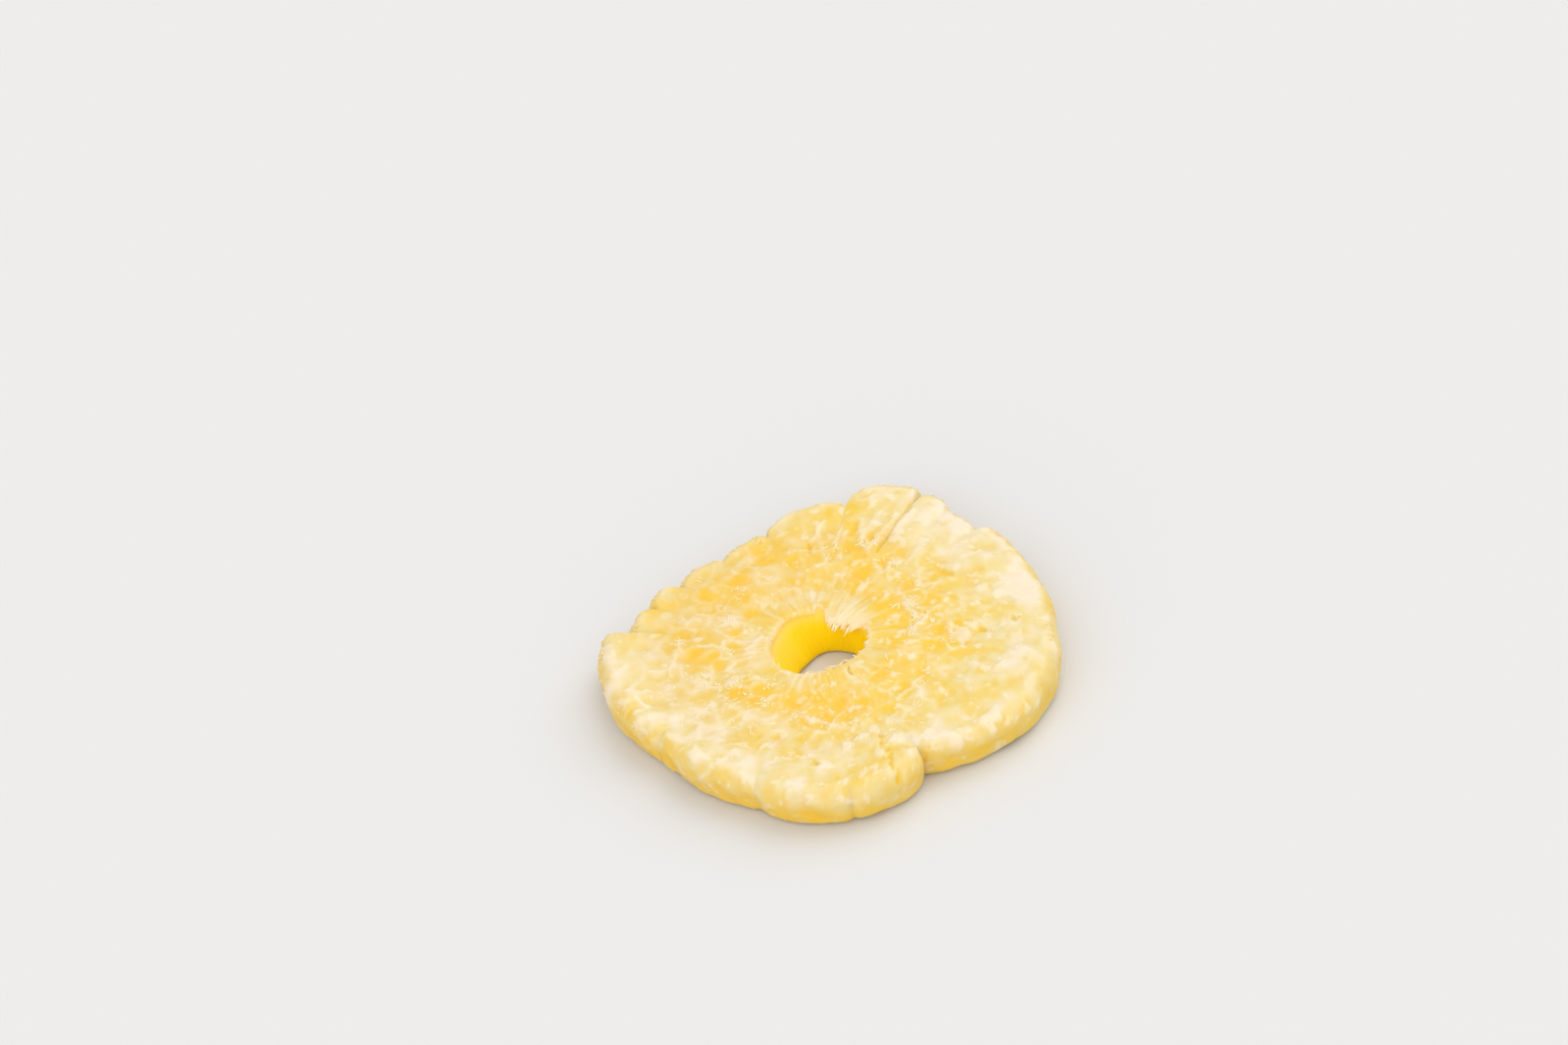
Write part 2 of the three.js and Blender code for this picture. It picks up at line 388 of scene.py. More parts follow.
@dataclass(frozen=True)
class RingForm:
    """The ring's form: a rounded section carried round the hole, out to the lobes' rim.

    rounds: radii of the section's corners, in their order. undercut: how far the wall's foot
    lies inside the rim. hole_oval, hole_trefoil and foot_oval: height and phase of swellings
    of the hole's edges. flap: reach, angle and half width of the flap over the hole.
    foot_shift: how far the lower edge is set off, and towards which angle. crown_power: the
    lower, the fuller a lobe's bulge. crevice_width and furrow_width: half widths. A furrow is
    whole from furrow_shoulder inside the rim, and counts within furrow_within degrees.
    pillow: how far a lobe's middle rises; it and the lift come in from pillow_from to
    pillow_to. wall_slant: how the wall's waves lean along X and Y. dent_level: where the
    waves of the underside become dents. The grid has about angle_steps sections, at least
    least_steps a lobe, with even_share of even spacing, and the rest sets the stations of a
    section. steepest: how far out or in the face may look where it is read from above.
    """

    thickness: float = 7.6
    rounds: tuple[float, float, float, float] = (1.2, 2.2, 3.2, 1.1)
    undercut: float = 0.4
    hole_radius: float = 7.7
    hole_oval: tuple[float, float] = (0.3, 57.0)
    hole_trefoil: tuple[float, float] = (0.25, 126.0)
    flap: tuple[float, float, float] = (1.9, 52.0, 26.0)
    foot_radius: float = 5.2
    foot_oval: tuple[float, float] = (0.2, 29.0)
    foot_shift: tuple[float, float] = (1.7, -45.0)
    crown_power: float = 0.6
    crevice_width: float = 0.55
    furrow_width: float = 0.7
    furrow_shoulder: float = 2.0
    furrow_within: float = 60.0
    pillow: float = 0.3
    pillow_from: float = 22.0
    pillow_to: float = 32.0
    face_waves: Waves = Waves(0.22, 7, 16, 5, 1)
    wall_waves: Waves = Waves(0.25, 6, 12, 4, 9)
    wall_slant: tuple[float, float] = (0.7, -0.5)
    dent_waves: Waves = Waves(0.9, 6, 15, 6, 5)
    dent_level: float = 0.15
    angle_steps: int = 500
    least_steps: int = 10
    even_share: float = 0.6
    face_steps: int = 94
    wall_steps: int = 14
    underside_steps: int = 42
    hole_steps: int = 12
    corner_steps: tuple[int, int, int, int] = (6, 8, 12, 10)
    steepest: float = 0.98

    def rim(self, degrees: Array) -> tuple[Array, Array]:
        """Adds up the lobes, each by its share, less the crevices between them.

        Args:
            degrees: angles round the hole.

        Returns:
            Outer radius, and the height of the face by the rim over its mean level.
        """
        radius = np.zeros(np.shape(degrees))
        height = np.zeros(np.shape(degrees))
        for lobe, after in zip(LOBES, LOBES[1:] + LOBES[:1]):
            span = (after.start - lobe.start) % 360.0
            along = signed_angle(degrees - lobe.start - span / 2) + span / 2
            share = smooth(along / (2 * lobe.blend) + 0.5)
            share = share * smooth((span - along) / (2 * after.blend) + 0.5)
            s = np.clip(along / span, 0, 1)
            crown = 1 - (2 * s - 1) ** 2
            reach = lerp(*lobe.rim, s) + lobe.bulge * crown ** self.crown_power
            crevice = lobe.pinch * bell(np.radians(along) * reach / self.crevice_width)
            radius += share * reach - crevice
            height += share * (lobe.lift + self.pillow * crown)
        return radius, height

    def furrow(self, degrees: Array, radius: Array, rim: Array) -> Array:
        """Depth of the furrows that run in from the crevices: bells across each one's line."""
        depth = np.zeros(np.broadcast(degrees, radius).shape)
        for lobe in LOBES:
            turn = signed_angle(degrees - lobe.start)
            across = radius * np.sin(np.radians(turn))
            fade = rise(radius, lobe.reach, rim - self.furrow_shoulder)
            near = np.abs(turn) <= self.furrow_within
            depth += near * lobe.crease * bell(across / self.furrow_width) * fade
        return depth

    @staticmethod
    def _swelling(degrees: Array, folds: int, height: float, phase: float) -> Array:
        """height sin(folds times the angle + phase)."""
        return height * np.sin(np.radians(folds * degrees + phase))

    def hole_top(self, degrees: Array) -> Array:
        """The hole's upper edge: a circle with an oval and a trefoil swelling, less the flap."""
        swelling = self._swelling(degrees, 2, *self.hole_oval)
        swelling = swelling + self._swelling(degrees, 3, *self.hole_trefoil)
        reach, middle, spread = self.flap
        return self.hole_radius + swelling - reach * bell_at(degrees, middle, spread)

    def hole_foot(self, degrees: Array) -> Array:
        """The hole's lower edge: an oval, set off a little to one side."""
        shift, towards = self.foot_shift
        oval = self.foot_radius + self._swelling(degrees, 2, *self.foot_oval)
        return oval + shift * np.cos(np.radians(degrees - towards))

    def angles(self) -> Array:
        """Angles of the sections, closer together at the crevices between the lobes."""
        parts = []
        for lobe, after in zip(LOBES, LOBES[1:] + LOBES[:1]):
            span = (after.start - lobe.start) % 360.0
            steps = max(self.least_steps, round(span / 360.0 * self.angle_steps))
            k = np.arange(steps) / steps
            eased = (1 - np.cos(np.pi * k)) / 2
            parts.append(lobe.start + span * lerp(eased, k, self.even_share))
        return np.concatenate(parts)

    def stations(self) -> tuple[Array, Array, Array]:
        """The stations of the section, anticlockwise from the underside by the hole.

        Returns:
            The corner that each starts from, its share of the way to the next corner, and
            the direction in degrees in which the skin looks there.
        """
        edges = (self.underside_steps, self.wall_steps, self.face_steps, self.hole_steps)
        corner, share, looks = [], [], []
        for start, edge in zip(Corner, edges):
            turn = self.corner_steps[start]
            direction = -90.0 + 90.0 * start
            corner.append(np.full(turn + edge, int(start)))
            share.append(np.concatenate([np.zeros(turn), np.arange(edge) / edge]))
            arc = direction - 90.0 * (1 - np.arange(turn) / turn)
            looks.append(np.concatenate([arc, np.full(edge, direction)]))
        return np.concatenate(corner), np.concatenate(share), np.concatenate(looks)

    def skin(self) -> Skin:
        """Carries the section round the hole: the plain corners first, then the gentle relief.

        Returns:
            The skin on a closed grid, sections by stations.
        """
        degrees = self.angles()[:, None]
        corner, share, looks = self.stations()
        rim, lift = self.rim(degrees)
        low = np.array([self.rounds[Corner.INNER_LOW], self.rounds[Corner.OUTER_LOW]])
        high = np.array([self.rounds[Corner.OUTER_HIGH], self.rounds[Corner.INNER_HIGH]])
        centre_r = np.concatenate([
            self.hole_foot(degrees) + low[0], rim - self.undercut - low[1],
            rim - high[0], self.hole_top(degrees) + high[1],
        ], axis=1)
        centre_z = np.concatenate([low, self.thickness - high])
        rounds = np.array(self.rounds)
        after = (corner + 1) % len(Corner)
        out = np.broadcast_to(np.cos(np.radians(looks)), (len(degrees), len(looks)))
        up = np.broadcast_to(np.sin(np.radians(looks)), out.shape)
        around = lerp(rounds[corner], rounds[after], share)
        radius = lerp(centre_r[:, corner], centre_r[:, after], share) + around * out
        height = lerp(centre_z[corner], centre_z[after], share) + around * up
        return self._relieved(Skin(
            np.broadcast_to(degrees, out.shape), radius, height, out, up,
            np.broadcast_to(rim, out.shape), np.broadcast_to(self.hole_top(degrees), out.shape),
        ), lift)

    def face(self, degrees: Array, radius: Array) -> Skin:
        """The skin at places of the upper face, and of its round corners, from above.

        Args:
            degrees: angles of the places.
            radius: their radii, between the hole's upper edge and the rim.

        Returns:
            The skin there.
        """
        rim, lift = self.rim(degrees)
        hole = self.hole_top(degrees)
        outer, inner = self.rounds[Corner.OUTER_HIGH], self.rounds[Corner.INNER_HIGH]
        out = np.clip((radius - rim + outer) / outer, 0, self.steepest)
        out = out - np.clip((hole + inner - radius) / inner, 0, self.steepest)
        up = np.sqrt(1 - out ** 2)
        height = self.thickness - (1 - up) * np.where(out > 0, outer, inner)
        return self._relieved(Skin(degrees, radius, height, out, up, rim, hole), lift)

    def _relieved(self, skin: Skin, lift: Array) -> Skin:
        """Lays waves, pillows and furrows on the face, dents on the underside, waves on the walls."""
        x, y, up, out = skin.x(), skin.y(), skin.normal_up, skin.normal_out
        pillow = lift * rise(skin.radius, self.pillow_from, self.pillow_to)
        furrow = self.furrow(skin.degrees, skin.radius, skin.rim)
        face = self.face_waves.at(x, y) + pillow - furrow
        dent = np.maximum(0, self.dent_waves.at(x, y) - self.dent_level)
        height = skin.height + np.where(up > 0, up * face, -up * dent)
        slant_x, slant_y = self.wall_slant
        radius = skin.radius + out * self.wall_waves.at(x + slant_x * height, y + slant_y * height)
        return Skin(skin.degrees, radius, height, out, up, skin.rim, skin.hole, furrow)


# --- The flesh's relief and finish --------------------------------------------------------
# Height above which the skin by the hole belongs to its lip.
LIP_HEIGHT = 6.0
# What a furrow takes from the frost level for each millimetre of its depth: painted shade, which
# darkens the furrows.
FURROW_SHADE = -0.05
# Noises and a share that the face and the outer wall have in common, so that they meet.
SWELL = Noise(2.8, 81, octaves=2)
SWELL_FROST = 0.18
DRIFT = Noise(5.0, 83, octaves=2)


@dataclass(frozen=True)
class Layers:
    """What a feature adds to the skin: relief in millimetres, and shares of the finish.

    frost: how pale the surface is, from set sugar, and in places from painted light and painted shade.
    fibre: how much dry cell wall shows.
    """

    relief: Array | float = 0.0
    frost: Array | float = 0.0
    fibre: Array | float = 0.0

    def __add__(self, other: Layers) -> Layers:
        """Both features together."""
        return Layers(self.relief + other.relief, self.frost + other.frost, self.fibre + other.fibre)

    def times(self, share: Array | float) -> Layers:
        """All of the feature where its share is 1 and none of it where that is 0."""
        return Layers(self.relief * share, self.frost * share, self.fibre * share)


class Mark(Enum):
    """Kinds of marks on the face, with what each adds at its middle."""

    CRACK = Layers(-0.45, -0.70)
    SCORE = Layers(-0.25, -0.30)
    PIT = Layers(-0.40, -0.50)
    CLEAR = Layers(-0.12, -0.22)
    RIDGE = Layers(0.24, 0.20, 0.4)
    CURD = Layers(0.26, 0.28, 0.5)
    PLATEAU = Layers(0.28, 0.07, 0.1)
    HAZE = Layers(0.05, 0.16, 0.2)


@dataclass(frozen=True)
class Streak:
    """A mark along a line on the face, from one angle and radius to another.

    width: half width near its middle. AT_START and AT_END: shares of it at the ends.
    """

    mark: Mark
    start: tuple[float, float]
    end: tuple[float, float]
    width: float

    AT_START = 1.2
    AT_END = 0.7

    def at(self, x: Array, y: Array) -> Layers:
        """A bell of the distance to the line, narrower towards its end."""
        start, end = on_circle(*self.start), on_circle(*self.end)
        way = end - start
        s = np.clip(((x - start[0]) * way[0] + (y - start[1]) * way[1]) / (way @ way), 0, 1)
        away = np.hypot(x - start[0] - s * way[0], y - start[1] - s * way[1])
        return self.mark.value.times(bell(away / (self.width * lerp(self.AT_START, self.AT_END, s))))


@dataclass(frozen=True)
class Patch:
    """A mark on an oval of the face.

    place: angle and radius of its middle. size: half sizes along the radius and across it.
    turn: how far it is turned from the radius. edge: width of its border, as a share of size.
    """

    mark: Mark
    place: tuple[float, float]
    size: tuple[float, float]
    turn: float = 0.0
    edge: float = 0.9

    def at(self, x: Array, y: Array) -> Layers:
        """Full inside the oval, falling to nothing over the border."""
        middle, turn = on_circle(*self.place), math.radians(self.place[0] + self.turn)
        dx, dy = x - middle[0], y - middle[1]
        along = (dx * math.cos(turn) + dy * math.sin(turn)) / self.size[0]
        across = (dy * math.cos(turn) - dx * math.sin(turn)) / self.size[1]
        return self.mark.value.times(smooth((1 + self.edge / 2 - np.hypot(along, across)) / self.edge))


# The marks of the face that stand out one by one. The finer ones between them are noise.
MARKS = (
    Streak(Mark.CRACK, (285.4, 26.6), (283.6, 29.3), 0.26),
    Streak(Mark.CRACK, (284.4, 30.6), (282.6, 35.0), 0.30),
    Streak(Mark.CRACK, (283.0, 35.6), (282.8, 37.8), 0.24),
    Streak(Mark.SCORE, (285.6, 30.6), (293.5, 33.0), 0.55),
    Streak(Mark.CRACK, (295.5, 9.0), (294.5, 11.2), 0.16),
    Streak(Mark.CRACK, (57.0, 23.0), (56.2, 36.0), 0.26),
    Streak(Mark.RIDGE, (82.0, 23.4), (82.5, 29.0), 0.50),
    Streak(Mark.RIDGE, (75.5, 24.0), (74.5, 28.5), 0.35),
    Streak(Mark.RIDGE, (66.0, 25.0), (64.0, 33.0), 0.40),
    Streak(Mark.RIDGE, (61.0, 23.0), (58.5, 32.0), 0.55),
    Streak(Mark.CURD, (54.5, 27.5), (53.5, 33.0), 0.80),
    Streak(Mark.CURD, (17.2, 16.1), (6.0, 16.4), 0.42),
    Streak(Mark.CURD, (6.0, 16.3), (-4.0, 16.6), 0.40),
    Streak(Mark.CURD, (-4.0, 16.6), (-12.0, 14.9), 0.38),
    Streak(Mark.CURD, (-3.0, 17.0), (4.2, 18.7), 0.34),
    Streak(Mark.CURD, (4.2, 18.7), (6.7, 21.2), 0.26),
    Streak(Mark.RIDGE, (17.2, 16.1), (30.0, 17.0), 0.40),
    Streak(Mark.RIDGE, (-6.0, 21.5), (-17.0, 22.6), 0.45),
    Streak(Mark.CURD, (188.4, 32.2), (197.7, 30.5), 0.50),
    Streak(Mark.CURD, (188.4, 32.2), (191.0, 29.0), 0.40),
    Streak(Mark.RIDGE, (214.6, 25.7), (220.3, 28.9), 0.45),
    Streak(Mark.CURD, (149.0, 15.0), (147.0, 18.6), 0.60),
    Streak(Mark.CURD, (143.0, 16.6), (154.0, 16.6), 0.36),
    Streak(Mark.RIDGE, (160.0, 9.6), (176.0, 11.5), 0.60),
    Streak(Mark.RIDGE, (165.0, 22.9), (184.0, 24.9), 0.45),
    Streak(Mark.RIDGE, (169.3, 17.3), (173.5, 14.6), 0.36),
    Streak(Mark.CURD, (262.0, 19.6), (270.0, 22.0), 0.55),
    Streak(Mark.RIDGE, (251.0, 18.0), (262.0, 20.0), 0.50),
    Streak(Mark.RIDGE, (290.0, 24.4), (296.0, 23.2), 0.50),
    Streak(Mark.RIDGE, (274.0, 21.8), (281.0, 21.6), 0.36),
    Streak(Mark.RIDGE, (301.0, 21.0), (318.0, 20.4), 0.40),
    Streak(Mark.CURD, (84.7, 25.0), (80.5, 29.2), 0.50),
    Streak(Mark.CURD, (61.5, 24.4), (58.5, 25.2), 0.40),
    Streak(Mark.RIDGE, (48.3, 20.8), (39.7, 17.4), 0.45),
    Streak(Mark.RIDGE, (69.0, 30.0), (64.3, 23.8), 0.40),
    Patch(Mark.CURD, (297.2, 30.6), (0.8, 1.3)),
    Patch(Mark.CURD, (302.3, 34.2), (1.0, 1.0)),
    Patch(Mark.CURD, (288.5, 29.2), (1.1, 0.9)),
    Patch(Mark.CURD, (200.1, 32.7), (0.8, 0.9)),
    Patch(Mark.CURD, (223.4, 31.6), (0.9, 1.2)),
    Patch(Mark.CURD, (23.8, 26.9), (0.8, 0.7)),
    Patch(Mark.CURD, (9.6, 28.4), (1.1, 0.9)),
    Patch(Mark.CURD, (5.5, 30.8), (1.2, 0.8)),
    Patch(Mark.CURD, (202.4, 16.3), (1.3, 1.1)),
    Patch(Mark.CURD, (193.9, 20.4), (1.0, 2.0), turn=30),
    Patch(Mark.CURD, (278.6, 25.8), (0.9, 1.0)),
    Patch(Mark.CURD, (272.7, 26.8), (0.9, 0.8)),
    Patch(Mark.CURD, (-46.0, 36.0), (1.2, 2.4), edge=0.6),
    Patch(Mark.CURD, (345.5, 24.0), (1.3, 1.9), turn=20, edge=0.5),
    Patch(Mark.PLATEAU, (-26.0, 34.0), (2.6, 4.6), turn=-20, edge=0.5),
    Patch(Mark.PLATEAU, (51.0, 30.0), (5.0, 3.0), edge=0.7),
    Patch(Mark.PLATEAU, (176.0, 31.5), (4.2, 8.5), edge=0.6),
    Patch(Mark.HAZE, (96.0, 10.6), (1.6, 3.4)),
    Patch(Mark.HAZE, (168.0, 10.8), (2.2, 3.0)),
    Patch(Mark.HAZE, (110.0, 13.6), (1.8, 3.4)),
    Patch(Mark.HAZE, (110.0, 18.6), (3.0, 3.4)),
    Patch(Mark.HAZE, (150.0, 16.4), (2.0, 3.0)),
    Patch(Mark.HAZE, (190.0, 10.6), (1.6, 2.6)),
    Patch(Mark.HAZE, (290.0, 12.4), (2.6, 2.0)),
    Patch(Mark.HAZE, (30.0, 28.0), (2.2, 4.0)),
    Patch(Mark.HAZE, (60.0, 10.0), (1.8, 3.2)),
    Patch(Mark.HAZE, (298.0, 9.4), (0.9, 2.0)),
    Patch(Mark.HAZE, (240.0, 20.6), (2.4, 4.0)),
    Patch(Mark.PIT, (25.0, 25.0), (0.6, 1.6), turn=20),
    Patch(Mark.PIT, (86.0, 23.0), (1.4, 0.5)),
    Patch(Mark.PIT, (262.0, 29.8), (1.0, 0.5), turn=10),
    Patch(Mark.PIT, (342.6, 25.0), (0.9, 0.4), turn=80),
    Patch(Mark.PIT, (349.0, 27.0), (0.7, 0.5)),
    Patch(Mark.PIT, (352.8, 32.5), (0.7, 0.6)),
    Patch(Mark.CLEAR, (18.0, 13.8), (2.4, 2.8)),
    Patch(Mark.CLEAR, (3.0, 13.8), (2.4, 2.2)),
    Patch(Mark.CLEAR, (351.5, 19.6), (1.7, 1.5)),
    Patch(Mark.CLEAR, (308.9, 14.3), (1.6, 2.0)),
    Patch(Mark.CLEAR, (308.6, 18.3), (1.2, 1.8)),
    Patch(Mark.CLEAR, (321.2, 19.1), (1.2, 1.6)),
    Patch(Mark.CLEAR, (278.0, 17.6), (3.4, 5.0)),
    Patch(Mark.CLEAR, (272.0, 17.0), (2.6, 3.6)),
    Patch(Mark.CLEAR, (262.0, 15.6), (2.6, 4.2)),
    Patch(Mark.CLEAR, (215.4, 16.6), (2.2, 2.6)),
    Patch(Mark.CLEAR, (228.0, 15.0), (2.6, 2.4)),
    Patch(Mark.CLEAR, (182.5, 16.4), (1.4, 2.4)),
    Patch(Mark.CLEAR, (176.0, 20.0), (2.4, 1.8)),
    Patch(Mark.CLEAR, (237.0, 23.6), (2.2, 1.4)),
    Patch(Mark.CLEAR, (252.0, 26.8), (1.2, 1.8)),
    Patch(Mark.CLEAR, (129.0, 20.5), (2.4, 3.6)),
    Patch(Mark.CLEAR, (68.0, 16.6), (2.2, 3.4)),
    Patch(Mark.CLEAR, (330.0, 16.6), (2.0, 3.6)),
    Patch(Mark.CLEAR, (346.0, 20.4), (2.2, 2.2)),
    Patch(Mark.CLEAR, (104.0, 24.0), (3.0, 3.0)),
    Patch(Mark.CLEAR, (70.0, 25.5), (3.0, 1.0)),
    Patch(Mark.CLEAR, (63.5, 21.5), (2.0, 1.2)),
    Patch(Mark.CLEAR, (2.0, 28.0), (0.9, 0.7)),
    Patch(Mark.CLEAR, (312.0, 27.4), (1.4, 1.6)),
    Patch(Mark.CLEAR, (86.9, 22.3), (1.6, 0.6)),
    Patch(Mark.CLEAR, (70.2, 27.7), (1.9, 0.6)),
    Patch(Mark.CLEAR, (62.9, 26.3), (1.2, 0.5)),
    Patch(Mark.CLEAR, (79.4, 31.5), (1.4, 0.7)),
    Patch(Mark.CLEAR, (50.3, 22.1), (1.0, 0.7)),
    Patch(Mark.CLEAR, (58.7, 19.4), (1.4, 1.0)),
    Patch(Mark.CLEAR, (36.4, 24.5), (1.4, 1.0)),
    Patch(Mark.CLEAR, (42.4, 22.9), (1.0, 0.6)),
    Patch(Mark.CLEAR, (81.5, 15.5), (2.0, 1.6)),
)


@dataclass(frozen=True)
class Sector:
    """A part of the face that is paler or clearer than elsewhere: thicker or thinner sugar, and on the
    upper right partly painted light.

    middle and spread: its middle angle and half width in degrees. radius and depth: the same
    along the radius. frost: what it adds to the frost level.
    """

    middle: float
    spread: float
    radius: float
    depth: float
    frost: float

    def at(self, skin: Skin) -> Array:
        """A bell round the middle in angle, times a bell in radius."""
        around = bell_at(skin.degrees, self.middle, self.spread)
        return self.frost * around * bell((skin.radius - self.radius) / self.depth)


# The paler sectors on the right rim and the upper right lobe, round 0 to 50 degrees, are partly thicker
# sugar and partly painted light, where the light from the back right falls.
SECTORS = (
    Sector(100, 36, 27, 9, -0.05),
    Sector(150, 16, 28, 5, -0.06),
    Sector(48, 16, 34, 8, 0.33),
    Sector(20, 24, 35, 6, 0.22),
    Sector(-8, 20, 34, 5, 0.12),
    Sector(290, 26, 31, 6, 0.12),
    Sector(268, 26, 37, 4, -0.10),
    Sector(176, 16, 33, 5, 0.14),
    Sector(205, 40, 21, 7, 0.20),
    Sector(195, 22, 15, 4, 0.09),
    Sector(0, 24, 37, 4, 0.12),
    Sector(-15, 45, 12, 3, -0.08),
    Sector(-92, 34, 15, 5, -0.10),
    Sector(-40, 30, 32, 5, 0.12),
    Sector(240, 36, 33, 6, 0.20),
    Sector(262, 26, 20, 6, -0.15),
    Sector(350, 22, 22, 4, -0.10),
    Sector(70, 12, 27, 6, -0.10),
)


@dataclass(frozen=True)
class Web:
    """The web of cell walls in the inner flesh: large cells, and small ones in places.

    begins, full, fades, ends: radii between which the web comes in and goes out, and
    left_outside the share of it beyond. wall_width and halo_width: how much further the
    second seed may be where a wall, and the haze of sugar beside it, has fallen to a third.
    oval_from and oval_edge: how much further it is where the clear oval in a cell's middle
    begins, and over how much it clears; the share of cells without one falls as oval_often
    grows. bend and bend_by: noise that bends the walls, and how far. worn and wear: noise
    that wears walls away, and how strongly, round the shares large_kept and small_kept; it
    changes the walls' width by width_stray, down to thinnest. fuzz: noise that weakens them,
    down to thin_fuzz. The SLICES are heights at which one noise is read for unlike fields.
    """

    large: FleshCells = FleshCells(spacing=3.8, stretch=1.15, seed=21)
    small: FleshCells = FleshCells(spacing=2.0, stretch=1.2, seed=35, warp_size=2.0)
    bend: Noise = Noise(1.6, 77, octaves=2)
    bend_by: float = 0.45
    worn: Noise = Noise(3.4, 51, octaves=2)
    fuzz: Noise = Noise(1.1, 47)
    begins: float = 10.5
    full: float = 14.5
    fades: float = 22.0
    ends: float = 30.0
    left_outside: float = 0.18
    wall_width: float = 0.48
    halo_width: float = 1.7
    oval_from: float = 0.3
    oval_edge: float = 1.9
    large_kept: float = 0.42
    small_kept: float = 0.05
    wear: float = 1.1
    width_stray: float = 0.8
    thinnest: float = 0.5
    thin_fuzz: float = 0.35
    oval_often: float = 2.5
    wall: Layers = Layers(0.12, 0.29, 0.6)
    halo: Layers = Layers(0.05, 0.05, 0.1)
    oval: Layers = Layers(-0.06, -0.17)

    BEND_SLICES = (0.3, 8.1)
    WORN_SLICES = (0.3, 7.7, 3.9)
    FUZZ_SLICE = 3.3

    def at(self, skin: Skin) -> Layers:
        """Walls where the two nearest seeds are equally far, clear ovals in the cells' middles.

        Args:
            skin: points of the face.

        Returns:
            What the web adds there. Noise bends the walls, wears parts of them away and
            changes their width.
        """
        x, y = skin.x(), skin.y()
        bend_x, bend_y = (self.bend.at(x, y, z) for z in self.BEND_SLICES)
        bent_x, bent_y = x + self.bend_by * bend_x, y + self.bend_by * bend_y
        _, gap, tag = self.large.at(bent_x, bent_y)
        _, small_gap, small_tag = self.small.at(bent_x, bent_y)
        large_worn, small_worn, stray = (self.worn.at(x, y, z) for z in self.WORN_SLICES)
        large_kept = smooth(self.large_kept + self.wear * large_worn)
        small_kept = smooth(self.small_kept + self.wear * small_worn)
        width = self.wall_width * np.maximum(self.thinnest, 1 + self.width_stray * stray)
        fuzz = lerp(self.thin_fuzz, 1.0, as_share(self.fuzz.at(x, y, self.FUZZ_SLICE)))
        wall = np.maximum(large_kept * bell(gap / width), small_kept * bell(small_gap / width))
        halo = np.maximum(bell(gap / self.halo_width), small_kept * bell(small_gap / self.halo_width))
        oval = smooth((gap - self.oval_from) / self.oval_edge) * smooth(self.oval_often * tag)
        oval = oval * (1 - small_kept * small_tag)
        zone = rise(skin.radius, self.begins, self.full)
        out = rise(skin.radius, self.fades, self.ends)
        layers = self.wall.times(wall * fuzz) + self.halo.times(halo) + self.oval.times(oval)
        return layers.times(zone * lerp(1.0, self.left_outside, out))


@dataclass(frozen=True)
class Curd:
    """Sugar set on the skin in soft lumps and blotches and in plaques, with clear pits between.

    plaque_from and plaque_edge: level of the noise where a plaque begins, and how much
    higher it is whole; the same for the pits, which come in over pits_over from pits_begin,
    are read on a circle of radius pit_girth and are pit_length times longer along the
    radius. Round the angle bare_at, over bare_over, only bare_left of the plaques stays from
    bare_from to bare_to outwards.
    """

    lumps: Noise = Noise(2.1, 41, octaves=2)
    blotches: Noise = Noise(6.0, 43, octaves=2)
    plaques: Noise = Noise(2.4, 91, octaves=3, gain=0.6)
    pits: Noise = Noise(1.0, 95, octaves=2)
    pit_girth: float = 17.0
    pit_length: float = 2.6
    plaque_from: float = 0.36
    plaque_edge: float = 0.22
    pit_from: float = 0.55
    pit_edge: float = 0.40
    pits_begin: float = 19.0
    pits_over: float = 4.0
    bare_at: float = 130.0
    bare_over: float = 28.0
    bare_from: float = 17.0
    bare_to: float = 23.0
    bare_left: float = 0.25
    lump: Layers = Layers(0.06, 0.13)
    blotch: Layers = Layers(0.05, 0.28)
    plaque: Layers = Layers(0.08, 0.21, 0.5)
    pit: Layers = Layers(-0.14, -0.22)

    def at(self, skin: Skin) -> Layers:
        """Noises of several sizes; plaques and radial pits lie where theirs are highest.

        Args:
            skin: points of the skin.

        Returns:
            What the sugar adds there.
        """
        x, y, z = skin.x(), skin.y(), skin.height
        plaques = smooth((self.plaques.at(x, y, z) - self.plaque_from) / self.plaque_edge)
        bare = bell_at(skin.degrees, self.bare_at, self.bare_over)
        bare = bare * rise(skin.radius, self.bare_from, self.bare_to)
        plaques = plaques * lerp(1.0, self.bare_left, bare)
        pits = self.pits.by_angle(skin.degrees, self.pit_girth, skin.radius / self.pit_length)
        pits = smooth((pits - self.pit_from) / self.pit_edge)
        pits = pits * smooth((skin.radius - self.pits_begin) / self.pits_over)
        return (self.lump.times(self.lumps.at(x, y, z)) + self.blotch.times(self.blotches.at(x, y, z))
                + self.plaque.times(plaques) + self.pit.times(pits))


@dataclass(frozen=True)
class CoreFibres:
    """Radial fibres that fan out from the core, strongest in the band round the hole.

    girth: radius of the circle on which the noise is read by angle. length: how much longer
    than wide they are along the radius. strong: what they add up to the radius strong_to,
    and weak the same from weak_from on.
    """

    noise: Noise = Noise(1.0, 57, octaves=2)
    girth: float = 15.0
    length: float = 4.5
    strong_to: float = 12.5
    weak_from: float = 18.0
    strong: Layers = Layers(0.07, 0.24, 0.1)
    weak: Layers = Layers(0.03, 0.11)

    def at(self, skin: Skin) -> Layers:
        """Noise read on a circle by angle and slowly along the radius."""
        noise = self.noise.by_angle(skin.degrees, self.girth, skin.radius / self.length)
        core = 1 - rise(skin.radius, self.strong_to, self.weak_from)
        return self.strong.times(core * noise) + self.weak.times((1 - core) * noise)


